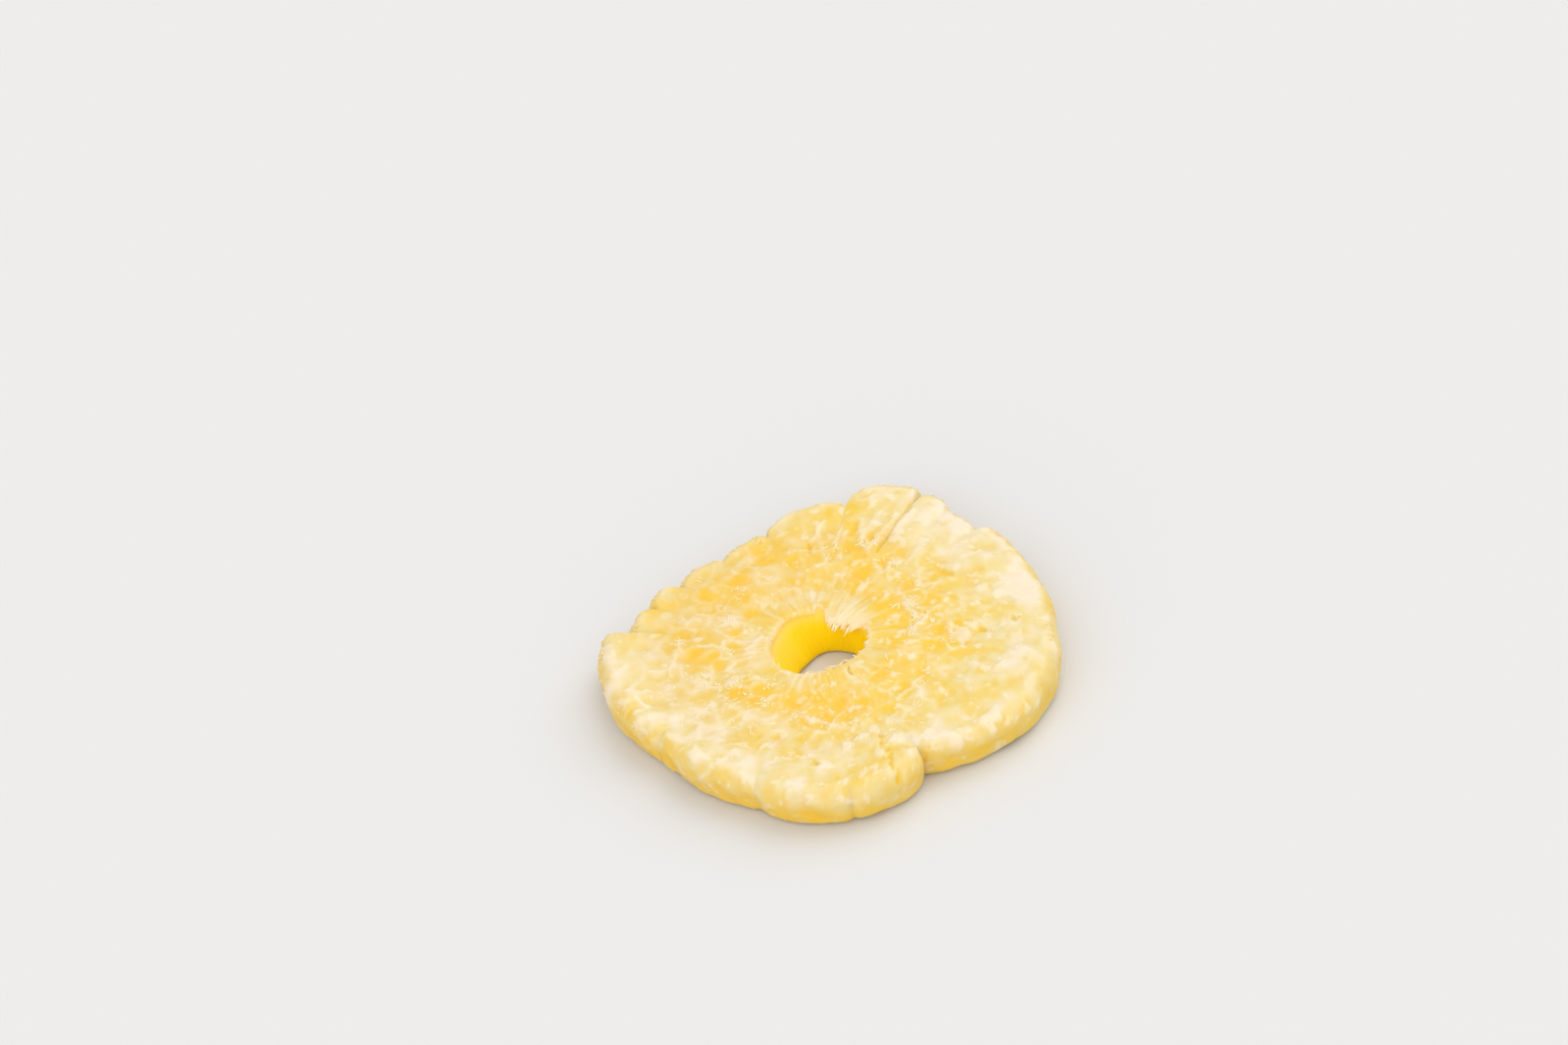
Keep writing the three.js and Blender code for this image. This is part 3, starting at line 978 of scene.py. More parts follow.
@dataclass(frozen=True)
class Fringe:
    """The torn upper edge of the hole: teeth, a frayed flap on one side, a smooth part opposite.

    teeth: noise along the edge, read on a circle of radius girth, and level what is added to
    it. short and long: reach of the teeth elsewhere and on the flap, and flap the reach of
    the flap between its teeth. flap_from, flap_to and flap_edge: angles between which the
    flap hangs, and over how many degrees it ends; calm_from, calm_to and calm_left: the same
    for the smooth part and the share of the teeth that it keeps. tooth: angle, half width in
    degrees and reach of the longest tooth, and notch the same of the nick beside the flap.
    droop: how far all bends down for each millimetre. lip and lip_depth: height above which
    the skin belongs to the lip, and over how much it joins. shelf: how far the pull reaches
    over the face. frost_width: width of the white edge, and flap_wider how much more it is
    on the flap. calm_white: the least share of white on the smooth part.
    """

    teeth: Noise = Noise(1.5, 67, octaves=3, gain=0.6)
    girth: float = 8.0
    short: float = 0.5
    long: float = 1.2
    level: float = 0.15
    flap: float = 1.25
    flap_from: float = 15.0
    flap_to: float = 71.0
    flap_edge: float = 7.0
    calm_from: float = 76.0
    calm_to: float = 205.0
    calm_edge: float = 14.0
    calm_left: float = 0.15
    calm_white: float = 0.5
    tooth: tuple[float, float, float] = (21.5, 4.0, 1.0)
    notch: tuple[float, float, float] = (81.0, 5.0, -0.8)
    droop: float = 0.40
    lip: float = LIP_HEIGHT
    lip_depth: float = 1.4
    shelf: float = 2.4
    frost_width: float = 0.8
    flap_wider: float = 2.0
    white: Layers = Layers(0.05, 0.24, 0.6)

    @staticmethod
    def _between(degrees: Array, low: float, high: float, edge: float) -> Array:
        """1 between two angles, 0 elsewhere, halfway at each and soft over the edge."""
        away = np.abs(signed_angle(degrees - (low + high) / 2))
        return smooth(((high - low) / 2 - away) / edge + 0.5)

    def on_flap(self, degrees: Array) -> Array:
        """1 on the flap, 0 elsewhere."""
        return self._between(degrees, self.flap_from, self.flap_to, self.flap_edge)

    def torn(self, degrees: Array) -> Array:
        """1 where the edge is torn, and what is left of that on the smooth part."""
        calm = self._between(degrees, self.calm_from, self.calm_to, self.calm_edge)
        return lerp(1.0, self.calm_left, calm)

    def reach(self, degrees: Array) -> Array:
        """The flap, the positive part of the noise times the teeth's reach, the tooth, the notch."""
        noise = self.teeth.by_angle(degrees, self.girth)
        share = self.on_flap(degrees)
        single = sum(reach * bell_at(degrees, middle, spread)
                     for middle, spread, reach in (self.tooth, self.notch))
        teeth = lerp(self.short, self.long, share) * np.maximum(0, self.level + noise)
        return share * self.flap + self.torn(degrees) * teeth + single

    def inward(self, skin: Skin) -> Array:
        """The reach on the lip, fading down the hole and out over the face."""
        lip = smooth((skin.height - self.lip) / self.lip_depth)
        return self.reach(skin.degrees) * lip * (1 - smooth((skin.radius - skin.hole) / self.shelf))

    def at(self, skin: Skin) -> Layers:
        """A white edge, widest on the flap."""
        width = self.frost_width * (1 + self.flap_wider * self.on_flap(skin.degrees))
        edge = bell(np.maximum(0, skin.radius - skin.hole) / width)
        return self.white.times(edge * np.maximum(self.calm_white, self.torn(skin.degrees)))


@dataclass(frozen=True)
class FaceLevel:
    """How pale the face is before its details, mostly by how thick the sugar lies, with the painted
    light of some sectors and the painted shade of the furrows; and the face's swellings.

    web: level in the web. core is added inside core_to, fading over core_over, outer from
    outer_from over outer_over, and rim within rim_band of the rim. furrow_fill: share of a
    furrow's depth that flesh fills. swell_relief: height of the swellings of the outer part.
    """

    web: float = 0.28
    core: float = 0.22
    core_to: float = 11.0
    core_over: float = 3.0
    outer: float = 0.28
    outer_from: float = 17.0
    outer_over: float = 12.0
    rim: float = 0.08
    rim_band: float = 5.5
    furrow_fill: float = 0.55
    swell_relief: float = 0.10

    def at(self, skin: Skin) -> Layers:
        """The level by radius, the sectors' shares and the swellings."""
        outside = smooth((skin.radius - self.outer_from) / self.outer_over)
        core = 1 - smooth((skin.radius - self.core_to) / self.core_over)
        near_rim = smooth((self.rim_band - (skin.rim - skin.radius)) / self.rim_band)
        level = self.web + self.core * core + self.outer * outside
        level = level + self.rim * near_rim + FURROW_SHADE * skin.furrow
        level = level + sum(sector.at(skin) for sector in SECTORS)
        swell = outside * SWELL.at(skin.x(), skin.y(), skin.height)
        relief = self.swell_relief * swell + self.furrow_fill * skin.furrow
        return Layers(relief, level + SWELL_FROST * swell)


@dataclass(frozen=True)
class TremblingMarks:
    """The named marks, with uneven lines.

    tremble and tremble_by: noise that bends them, and how far. apart: how far apart in it
    the bends along X and Y are read.
    """

    tremble: Noise = Noise(1.6, 79, octaves=3)
    tremble_by: float = 0.55
    apart: float = 4.0

    def at(self, skin: Skin) -> Layers:
        """All the marks together, each read at places moved by the noise."""
        x, y, z = skin.x(), skin.y(), skin.height
        bent_x = x + self.tremble_by * self.tremble.at(x, y, z)
        bent_y = y + self.tremble_by * self.tremble.at(x, y, z + self.apart)
        return sum((mark.at(bent_x, bent_y) for mark in MARKS), Layers())


@dataclass(frozen=True)
class OuterWall:
    """The outer wall: a pale bloom over clearer flesh, seams, and the corner above it.

    The frost level rises from low to high over bloom_depth above bloom_edge, a height that noise moves
    by bloom_stray: a sugar bloom above, and towards the floor a clearer, more golden wall that is
    partly painted shade. At the foot it is lower by gold round the angle gold_at, over gold_over,
    painted shade on the near foot. swell_relief, drift_relief and low_crumb: height of the swellings,
    of the drift and of the crumbs of the lower part. curd: how much of the set sugar shows. seam: what
    a seam between two lobes adds within seam_width, whole where the crevice is seam_whole deep; it is
    painted shade in the crevice. corner: what the upper outer corner gets, fuller and whiter, its
    whiteness partly painted light on the rounding. crumb: what noise over crumb_from adds there, and on
    the wall below it wall_crumbs of that.
    """

    low: float = 0.31
    high: float = 0.47
    gold: float = 0.06
    gold_at: float = -86.0
    gold_over: float = 24.0
    bloom_edge: float = 2.0
    bloom_depth: float = 4.4
    bloom_stray: float = 1.6
    curd: float = 0.9
    swell_relief: float = 0.04
    drift_relief: float = 0.10
    low_crumb: float = 0.16
    seam_width: float = 0.9
    seam_whole: float = 0.4
    # Painted shade: the seams between lobes are darker on the lower wall, the more the deeper the
    # crevice.
    seam: Layers = Layers(0.0, -0.10)
    # Partly painted light: the corner's whiteness lifts the shade of its rounding.
    corner: Layers = Layers(0.35, 0.14)
    crumbs: Noise = Noise(1.3, 97, octaves=3, gain=0.7)
    crumb_from: float = 0.1
    crumb: Layers = Layers(0.42, 0.16)
    wall_crumbs: float = 0.5

    def at(self, skin: Skin, curd: Layers, marks: Layers) -> Layers:
        """The bloom, its uneven lower edge, and the seams and crumbs of the lower part.

        Args:
            skin: points of the skin.
            curd: the set sugar there.
            marks: the named marks there, which run down from the face over the upper part.

        Returns:
            Relief and finish of the wall.
        """
        x, y, z = skin.x(), skin.y(), skin.height
        swell, drift = SWELL.at(x, y, z), DRIFT.at(x, y, z)
        # Towards the foot the frost falls, and round gold_at further: sugar bloom above, painted shade
        # near the floor below.
        foot = self.low - self.gold * bell_at(skin.degrees, self.gold_at, self.gold_over)
        bloom = smooth((z - (self.bloom_edge + self.bloom_stray * drift)) / self.bloom_depth)
        frost = lerp(foot, self.high, bloom) + SWELL_FROST * swell + FURROW_SHADE * skin.furrow
        low = smooth((self.bloom_edge + self.bloom_depth - z) / self.bloom_depth)
        relief = self.swell_relief * swell + self.drift_relief * drift
        relief = relief + self.low_crumb * low * np.maximum(0, self.crumbs.at(x, y, z))
        # The seams add painted shade between the lobes on the lower wall.
        return (Layers(relief, frost) + curd.times(self.curd)
                + self.seam.times(self._seams(skin) * low) + marks.times(1 - low))

    def _seams(self, skin: Skin) -> Array:
        """The strongest of bells round the lobes' starts, each as strong as its crevice."""
        starts = np.array([lobe.start for lobe in LOBES])
        turn = np.radians(signed_angle(skin.degrees[..., None] - starts))
        strong = np.array([min(1.0, lobe.pinch / self.seam_whole) for lobe in LOBES])
        return (strong * bell(turn * skin.rim[..., None] / self.seam_width)).max(axis=-1)

    def edge(self, skin: Skin) -> Layers:
        """A fuller upper outer corner, whiter partly as painted light on its rounding; crumbs there and
        on the wall below it.
        """
        corner = skin.on_edge()
        wall = smooth(skin.normal_out) * smooth((skin.height - self.bloom_edge) / self.bloom_depth)
        crumbs = self.crumbs.at(skin.x(), skin.y(), skin.height) - self.crumb_from
        crumbs = np.maximum(0, crumbs) * np.maximum(corner, self.wall_crumbs * wall)
        return self.corner.times(corner) + self.crumb.times(crumbs)


@dataclass(frozen=True)
class Bore:
    """The hole's wall: clear, deep yellow flesh with faint grooves, paler under the lip.

    steep: how far inwards the skin looks where the wall begins. band and top: height of the zone under
    the lip over which the wall gets paler, and what it gains, partly painted light that lifts the shade
    under the lip. haze: what a thin haze of sugar adds round the angle haze_at, over haze_over, which
    also lifts that shade as painted light. groove: what the grooves add; their noise is read on a
    circle of radius girth and, down the wall, at drop of the height.
    """

    steep: float = 0.62
    lip: float = LIP_HEIGHT
    band: float = 2.2
    top: Layers = Layers(0.0, 0.10, 0.24)
    haze: Layers = Layers(0.0, 0.06, 0.12)
    haze_at: float = 165.0
    haze_over: float = 40.0
    grooves: Noise = Noise(1.0, 61, octaves=2)
    girth: float = 9.0
    drop: float = 0.15
    groove: Layers = Layers(0.08, 0.01)

    def share(self, skin: Skin) -> Array:
        """1 on the hole's wall, 0 elsewhere."""
        inner = skin.radius < (skin.rim + skin.hole) / 2
        return inner * rise(-skin.normal_out, self.steep, 1.0)

    def at(self, skin: Skin) -> Layers:
        """The grooves, the pale band under the lip and the haze on one side."""
        grooves = self.grooves.by_angle(skin.degrees, self.girth, self.drop * skin.height)
        # The pale band under the lip and the haze on one side are partly painted light, lifting the
        # shade under the lip.
        top = smooth((skin.height - self.lip + self.band / 2) / self.band)
        haze = bell_at(skin.degrees, self.haze_at, self.haze_over)
        haze = haze * smooth(skin.height / self.lip)
        return self.groove.times(grooves) + self.top.times(top) + self.haze.times(haze)

    def bare(self, skin: Skin) -> Array:
        """How much clear flesh shows through: all on the hole's wall, but for its thin haze."""
        return self.share(skin) * (1 - self.at(skin).frost)


@dataclass(frozen=True)
class WarmTint:
    """How the flesh's yellow warms across the slice towards one flank, and on the outer wall as painted
    warm light in its shade.

    flank: the angle of that flank. width: over how much of the slice the change goes. drift: how far
    noise shifts it. wall: how much warmer the outer wall is, a painted warm glow in its shade. On the
    face it runs out from face_to on, over face_over.
    """

    flank: float = 150.0
    width: float = 60.0
    drift: float = 0.3
    wall: float = 0.4
    face_to: float = 25.0
    face_over: float = 7.0

    def at(self, skin: Skin) -> Array:
        """From 0 to 1: a smooth rise across the slice, with gentle noise."""
        across = skin.radius * np.cos(np.radians(skin.degrees - self.flank)) / self.width
        drift = self.drift * DRIFT.at(skin.x(), skin.y(), skin.height)
        warming = as_share(across + drift + self.wall * np.maximum(0, skin.normal_out))
        outside = smooth((skin.radius - self.face_to) / self.face_over)
        return warming * (1 - outside * np.maximum(0, skin.normal_up))


@dataclass(frozen=True)
class Flesh:
    """The flesh's relief and finish as functions of the place on the skin.

    One frost level from 0 to 1 says how pale the surface is: near 0 it is clear, a half is a thin haze
    of sugar, and 1 a thick bloom; in places it also carries painted light and painted shade. It is
    never clearer than clearest. A second one says where the bare, deep yellow flesh of the hole's wall
    shows instead.

    under_frost and pressed: frost level of the underside, and how far it is pressed in.
    under_whole: how far down the skin looks where the underside is whole. wall_from and
    wall_to: how far out it looks where the outer wall begins and is whole.
    """

    level: FaceLevel = FaceLevel()
    web: Web = Web()
    curd: Curd = Curd()
    core: CoreFibres = CoreFibres()
    fringe: Fringe = Fringe()
    marks: TremblingMarks = TremblingMarks()
    wall: OuterWall = OuterWall()
    bore: Bore = Bore()
    warm_tint: WarmTint = WarmTint()
    clearest: float = 0.10
    under_frost: float = 0.40
    pressed: float = 0.05
    under_whole: float = 5 / 8
    wall_from: float = 1 / 6
    wall_to: float = 5 / 6

    def layers(self, skin: Skin) -> Layers:
        """Blends the face, the outer wall, the underside and the hole's wall by the normal.

        Args:
            skin: the points of the skin.

        Returns:
            Relief and finishes at those points.
        """
        below = rise(-skin.normal_up, 0.0, self.under_whole)
        outer = (1 - below) * rise(skin.normal_out, self.wall_from, self.wall_to)
        curd, marks = self.curd.at(skin), self.marks.at(skin)
        web, core = self.web.at(skin), self.core.at(skin)
        face = self.level.at(skin) + web + curd + core + self.fringe.at(skin) + marks
        flesh = face.times(1 - below - outer) + self.wall.at(skin, curd, marks).times(outer)
        flesh = flesh + self._underside(web + curd + core).times(below) + self.wall.edge(skin)
        bore = self.bore.share(skin)
        total = flesh.times(1 - bore) + self.bore.at(skin).times(bore)
        # The frost runs on over the hole's wall, where the level of bare flesh hides it, so
        # that no darker line of clear flesh shows between the two.
        frost = np.clip(flesh.frost, self.clearest, 1)
        return Layers(total.relief, frost, np.clip(total.fibre, 0, 1))

    def warming(self, skin: Skin) -> Array:
        """The warm tint, which the hole's wall doesn't show."""
        return self.warm_tint.at(skin) * (1 - self.bore.share(skin))

    def _underside(self, flesh: Layers) -> Layers:
        """The same web, curd and fibres, pressed flat: relief only inwards."""
        relief = np.minimum(0.0, flesh.relief - self.pressed)
        return Layers(relief, self.under_frost + flesh.frost, flesh.fibre)


# --- Meshes -------------------------------------------------------------------------------
@dataclass(frozen=True)
class Placement:
    """Moves points from the hole's middle into the frame and from millimetres to metres."""

    shift: Array

    def __call__(self, points: Array) -> Array:
        """The points in the frame, in metres."""
        return (points + self.shift) * MM


def make_mesh(name: str, vertices: Array, faces: Array, rounded: bool = True) -> bpy.types.Object:
    """Puts whole arrays into a new mesh object.

    Args:
        name: the object's name.
        vertices: places in metres, three numbers each.
        faces: vertex numbers, one row for each face.
        rounded: whether the faces are shaded as one smooth surface.

    Returns:
        The object, linked to the scene.
    """
    mesh = bpy.data.meshes.new(name)
    mesh.vertices.add(len(vertices))
    mesh.vertices.foreach_set("co", np.ascontiguousarray(vertices, np.float32).ravel())
    mesh.loops.add(faces.size)
    mesh.loops.foreach_set("vertex_index", np.ascontiguousarray(faces, np.int32).ravel())
    mesh.polygons.add(len(faces))
    starts = np.arange(0, faces.size, faces.shape[1], dtype=np.int32)
    mesh.polygons.foreach_set("loop_start", starts)
    mesh.polygons.foreach_set("use_smooth", np.full(len(faces), rounded))
    mesh.update(calc_edges=True)
    piece = bpy.data.objects.new(name, mesh)
    bpy.context.scene.collection.objects.link(piece)
    return piece


def set_attribute(piece: bpy.types.Object, name: str, values: Array) -> None:
    """Stores one number for each vertex under a name that a material reads."""
    attribute = piece.data.attributes.new(name, "FLOAT", "POINT")
    attribute.data.foreach_set("value", np.ascontiguousarray(values, np.float32).ravel())


def closed_grid_faces(rows: int, columns: int) -> Array:
    """Four-sided faces of a grid that closes on itself both ways, rows by columns."""
    i, j = np.meshgrid(np.arange(rows), np.arange(columns), indexing="ij")
    after_i, after_j = (i + 1) % rows, (j + 1) % columns
    quads = [i * columns + j, after_i * columns + j,
             after_i * columns + after_j, i * columns + after_j]
    return np.stack(quads, axis=-1).reshape(-1, 4)


def unit(vectors: Array) -> Array:
    """The vectors at length 1."""
    return vectors / np.maximum(np.linalg.norm(vectors, axis=-1, keepdims=True), TINY)


def threads(paths: Array, radii: Array, sides: int) -> tuple[Array, Array]:
    """Round threads along paths, closed at both ends by a point.

    Each path point p but the first and the last gets a ring of points
    p + radius (cos a across + sin a over), square to the path's direction there.

    Args:
        paths: threads by steps by three.
        radii: threads by steps.
        sides: points in each ring.

    Returns:
        Points of all threads, and triangles facing out.
    """
    count, steps, _ = paths.shape
    along = unit(np.gradient(paths, axis=1))
    chord = paths[:, -1] - paths[:, 0]
    side = unit(np.stack([-chord[:, 1], chord[:, 0], 0 * chord[:, 0]], axis=-1))[:, None, :]
    over = unit(np.cross(along, np.broadcast_to(side, along.shape)))
    across = np.cross(over, along)
    turn = 2 * np.pi * np.arange(sides) / sides
    rings = (np.cos(turn)[:, None] * across[:, 1:-1, None, :]
             + np.sin(turn)[:, None] * over[:, 1:-1, None, :])
    rings = paths[:, 1:-1, None, :] + rings * radii[:, 1:-1, None, None]
    points = np.concatenate(
        [paths[:, :1], rings.reshape(count, -1, 3), paths[:, -1:]], axis=1)
    k = np.arange(sides)
    after = (k + 1) % sides
    last = 1 + (steps - 2) * sides
    faces = [np.stack([np.zeros(sides, int), 1 + after, 1 + k], axis=-1)]
    for step in range(steps - 3):
        a, b = 1 + step * sides, 1 + (step + 1) * sides
        faces += [np.stack([a + k, a + after, b + after], axis=-1),
                  np.stack([a + k, b + after, b + k], axis=-1)]
    end = last - sides
    faces.append(np.stack([np.full(sides, last), end + k, end + after], axis=-1))
    faces = np.concatenate(faces)
    offsets = np.arange(count)[:, None, None] * (last + 1)
    return points.reshape(-1, 3), (faces[None] + offsets).reshape(-1, 3)


def copies(template: Array, faces: Array, turns: Array, sizes: Array,
           places: Array) -> tuple[Array, Array]:
    """Copies of a small closed shape: turn (size * template) + place.

    Args:
        template: copies by points by three, or points by three for all alike.
        faces: the shape's faces.
        turns: copies by three by three, each a rotation.
        sizes: copies by three.
        places: copies by three.

    Returns:
        Points and faces of all copies.
    """
    shaped = template * sizes[:, None, :]
    points = np.einsum("nij,nvj->nvi", turns, shaped) + places[:, None, :]
    offsets = np.arange(len(places))[:, None, None] * points.shape[1]
    return points.reshape(-1, 3), (faces[None] + offsets).reshape(-1, faces.shape[1])


def turned_to(normals: Array, rng: np.random.Generator) -> Array:
    """Rotations whose third axis is the normal, spun at random about it."""
    normals = unit(normals)
    first = unit(np.cross(unit(rng.normal(size=normals.shape)), normals))
    return np.stack([first, np.cross(normals, first), normals], axis=-1)


# --- Materials ----------------------------------------------------------------------------
# Sockets of a colour Mix node, which share their names with those of other kinds.
SHARE, FIRST, SECOND, MIXED = 0, 6, 7, 2


def add_node(tree: bpy.types.NodeTree, kind: str, settings: dict | None = None,
             inputs: dict | None = None) -> bpy.types.Node:
    """Adds a shader node with its settings, its socket values and its links.

    Args:
        tree: the material's node tree.
        kind: the node's type, such as ShaderNodeMix.
        settings: attributes of the node by name.
        inputs: by socket name or number, a value or an output socket to link.

    Returns:
        The new node.
    """
    node = tree.nodes.new(kind)
    for name, value in (settings or {}).items():
        setattr(node, name, value)
    for key, value in (inputs or {}).items():
        if isinstance(value, bpy.types.NodeSocket):
            tree.links.new(value, node.inputs[key])
        else:
            node.inputs[key].default_value = value
    return node


def new_material(name: str) -> tuple[bpy.types.Material, bpy.types.NodeTree]:
    """An empty node material that keeps only its output node."""
    material = bpy.data.materials.new(name)
    material.use_nodes = True
    tree = material.node_tree
    tree.nodes.clear()
    return material, tree


def set_tones(ramp: bpy.types.Node, tones: tuple[tuple[float, str], ...]) -> None:
    """Sets a colour ramp's stops, as many as there are pairs of place and sRGB hex colour."""
    stops = ramp.color_ramp.elements
    while len(stops) < len(tones):
        stops.new(0.5)
    for stop, (position, colour) in zip(stops, tones):
        stop.position = position
        stop.color = linear(colour)


@dataclass(frozen=True)
class CandiedFlesh:
    """Osmotically candied, air-dried pineapple flesh.

    The sugar syrup that has soaked it makes it clear like a gel, so light travels some
    millimetres inside it and comes out deep yellow. Where it has dried on the surface the
    syrup has set as a pale bloom of fine crystals, which is rough and nearly opaque.

    tones: colour by frost level. bare: colour of the clear flesh on the hole's wall. fibre: that of dry
    cell walls. warming: what the colour is multiplied by towards one flank and on the outer wall, where
    it is painted warm light in the shade. scatter and scatter_mm: how much light goes through the
    flesh, and how far its red, green and blue get. mirror and bare_mirror: strength of the reflection
    on frost and on bare flesh. The roughness goes from wet to dry as the frost level rises. grain_mm
    and mottle_mm: sizes of two noises of the same detail and detail_gain, whose sum lies within
    speck_range. That sum shifts the frost level by uneven at most and raises the surface by bump_mm
    times itself.
    """

    name: str = "candied_pineapple_flesh"
    tones: tuple[tuple[float, str], ...] = (
        (0.10, "#f0c332"), (0.30, "#e9c652"), (0.50, "#e7ca72"), (0.70, "#e6d192"),
        (0.85, "#e8d6aa"), (1.00, "#ecddc2"),
    )
    bare: str = "#ffd700"
    fibre: str = "#eedcb8"
    warming: str = "#fdf7ee"
    ior: float = 1.46
    scatter: float = 0.5
    scatter_mm: tuple[float, float, float] = (1.8, 1.3, 0.5)
    bare_mirror: float = 0.15
    mirror: float = 0.5
    wet_roughness: float = 0.38
    dry_roughness: float = 0.62
    grain_mm: float = 0.6
    mottle_mm: float = 1.6
    detail: float = 3.0
    detail_gain: float = 0.6
    speck_range: tuple[float, float] = (0.7, 1.3)
    bump_mm: float = 0.03
    uneven: float = 0.03

    def build(self) -> bpy.types.Material:
        """Colours the flesh by its frost level, with a fine grain, and tints the fibres.

        The bare colour lies over the frost's, the fibres' over both, and the warm tint warms all; on
        the outer wall that tint is painted warm light in the shade.

        Returns:
            The material.
        """
        material, tree = new_material(self.name)
        place = add_node(tree, "ShaderNodeTexCoord").outputs["Object"]
        frost, bare, fibre, warm_tint = (
            add_node(tree, "ShaderNodeAttribute", {"attribute_name": name}).outputs["Fac"]
            for name in ("frost", "bare", "fibre", "warm_tint")
        )
        grain, mottle = (
            add_node(tree, "ShaderNodeTexNoise", inputs={
                "Vector": place, "Scale": 1 / (size * MM),
                "Detail": self.detail, "Roughness": self.detail_gain,
            }).outputs["Fac"]
            for size in (self.grain_mm, self.mottle_mm)
        )
        speck = add_node(tree, "ShaderNodeMath", {"operation": "ADD"}, {0: grain, 1: mottle}).outputs[0]
        uneven = add_node(tree, "ShaderNodeMapRange", inputs={
            "Value": speck, "From Min": self.speck_range[0], "From Max": self.speck_range[1],
            "To Min": -self.uneven, "To Max": self.uneven,
        }).outputs[0]
        level = add_node(tree, "ShaderNodeMath", {"operation": "ADD", "use_clamp": True},
                         {0: frost, 1: uneven}).outputs[0]
        ramp = add_node(tree, "ShaderNodeValToRGB", inputs={0: level})
        set_tones(ramp, self.tones)
        cleared = add_node(tree, "ShaderNodeMix", {"data_type": "RGBA"}, {
            SHARE: bare, FIRST: ramp.outputs[0], SECOND: linear(self.bare),
        }).outputs[MIXED]
        tinted = add_node(tree, "ShaderNodeMix", {"data_type": "RGBA"}, {
            SHARE: fibre, FIRST: cleared, SECOND: linear(self.fibre),
        }).outputs[MIXED]
        # The warm tint: on the outer wall, painted warm light in the shade.
        warmed = add_node(tree, "ShaderNodeMix", {"data_type": "RGBA", "blend_type": "MULTIPLY"}, {
            SHARE: warm_tint, FIRST: tinted, SECOND: linear(self.warming),
        }).outputs[MIXED]
        roughness = add_node(tree, "ShaderNodeMapRange", inputs={
            "Value": level, "To Min": self.wet_roughness, "To Max": self.dry_roughness,
        }).outputs[0]
        mirror = add_node(tree, "ShaderNodeMapRange", inputs={
            "Value": bare, "To Min": self.mirror, "To Max": self.bare_mirror,
        }).outputs[0]
        bump = add_node(tree, "ShaderNodeBump", inputs={
            "Strength": 1.0, "Distance": self.bump_mm * MM, "Height": speck,
        }).outputs[0]
        shader = add_node(tree, "ShaderNodeBsdfPrincipled", inputs={
            "Base Color": warmed,
            "Roughness": roughness,
            "IOR": self.ior,
            "Specular IOR Level": mirror,
            "Subsurface Weight": self.scatter,
            "Subsurface Radius": self.scatter_mm,
            "Subsurface Scale": MM,
            "Normal": bump,
        })
        add_node(tree, "ShaderNodeOutputMaterial", inputs={"Surface": shader.outputs[0]})
        return material


@dataclass(frozen=True)
class SugaredCrumb:
    """What lies loose on the flesh: dry fibres, flakes of set syrup or sugar crystals.

    All are small, dull and pale, and each is a little yellower or whiter than the next.

    dark and light: the two tones. patch_mm: size of the noise that mixes them. It has this
    DETAIL, and is dark up to DARK_TO and light from LIGHT_FROM on.
    """

    name: str
    dark: str
    light: str
    ior: float
    roughness: float
    patch_mm: float

    DETAIL = 2.0
    DARK_TO = 0.35
    LIGHT_FROM = 0.65

    def build(self) -> bpy.types.Material:
        """Two close tones, mixed by a noise about as large as one crumb.

        Returns:
            The material.
        """
        material, tree = new_material(self.name)
        place = add_node(tree, "ShaderNodeTexCoord").outputs["Object"]
        patches = add_node(tree, "ShaderNodeTexNoise", inputs={
            "Vector": place, "Scale": 1 / (self.patch_mm * MM), "Detail": self.DETAIL,
        }).outputs["Fac"]
        ramp = add_node(tree, "ShaderNodeValToRGB", inputs={0: patches})
        set_tones(ramp, ((self.DARK_TO, self.dark), (self.LIGHT_FROM, self.light)))
        shader = add_node(tree, "ShaderNodeBsdfPrincipled", inputs={
            "Base Color": ramp.outputs[0],
            "Roughness": self.roughness,
            "IOR": self.ior,
        })
        add_node(tree, "ShaderNodeOutputMaterial", inputs={"Surface": shader.outputs[0]})
        return material


# Cellulose fibre of the flesh, dried: matt, straw-coloured, hazed by the sugar on it.
DRY_FIBRE = SugaredCrumb("dry_pineapple_fibre", "#fae0a0", "#fae9c2",
                         ior=1.5, roughness=0.7, patch_mm=1.2)
# Syrup that has set in thin films and cracked: pale amber, a little glassier than the bloom.
SET_SYRUP = SugaredCrumb("flaked_set_syrup", "#efd28c", "#f1deae",
                         ior=1.48, roughness=0.6, patch_mm=1.5)
# Crystals of sugar, stained by the juice: their small faces glint more than the flesh.
SUGAR = SugaredCrumb("sugar_crystal", "#ecca7c", "#efd8a0",
                     ior=1.54, roughness=0.55, patch_mm=0.8)


@dataclass(frozen=True)
class PaintedFloor:
    """Matt white studio paper: an even, slightly warm white without gloss.

    mirror: strength of the reflection, far below that of anything glossy.
    """

    name: str = "matt_white_paper"
    colour: str = "#dbdad9"
    roughness: float = 0.95
    mirror: float = 0.1

    def build(self) -> bpy.types.Material:
        """A rough, plain white."""
        material, tree = new_material(self.name)
        shader = add_node(tree, "ShaderNodeBsdfPrincipled", inputs={
            "Base Color": linear(self.colour),
            "Roughness": self.roughness,
            "Specular IOR Level": self.mirror,
        })
        add_node(tree, "ShaderNodeOutputMaterial", inputs={"Surface": shader.outputs[0]})
        return material


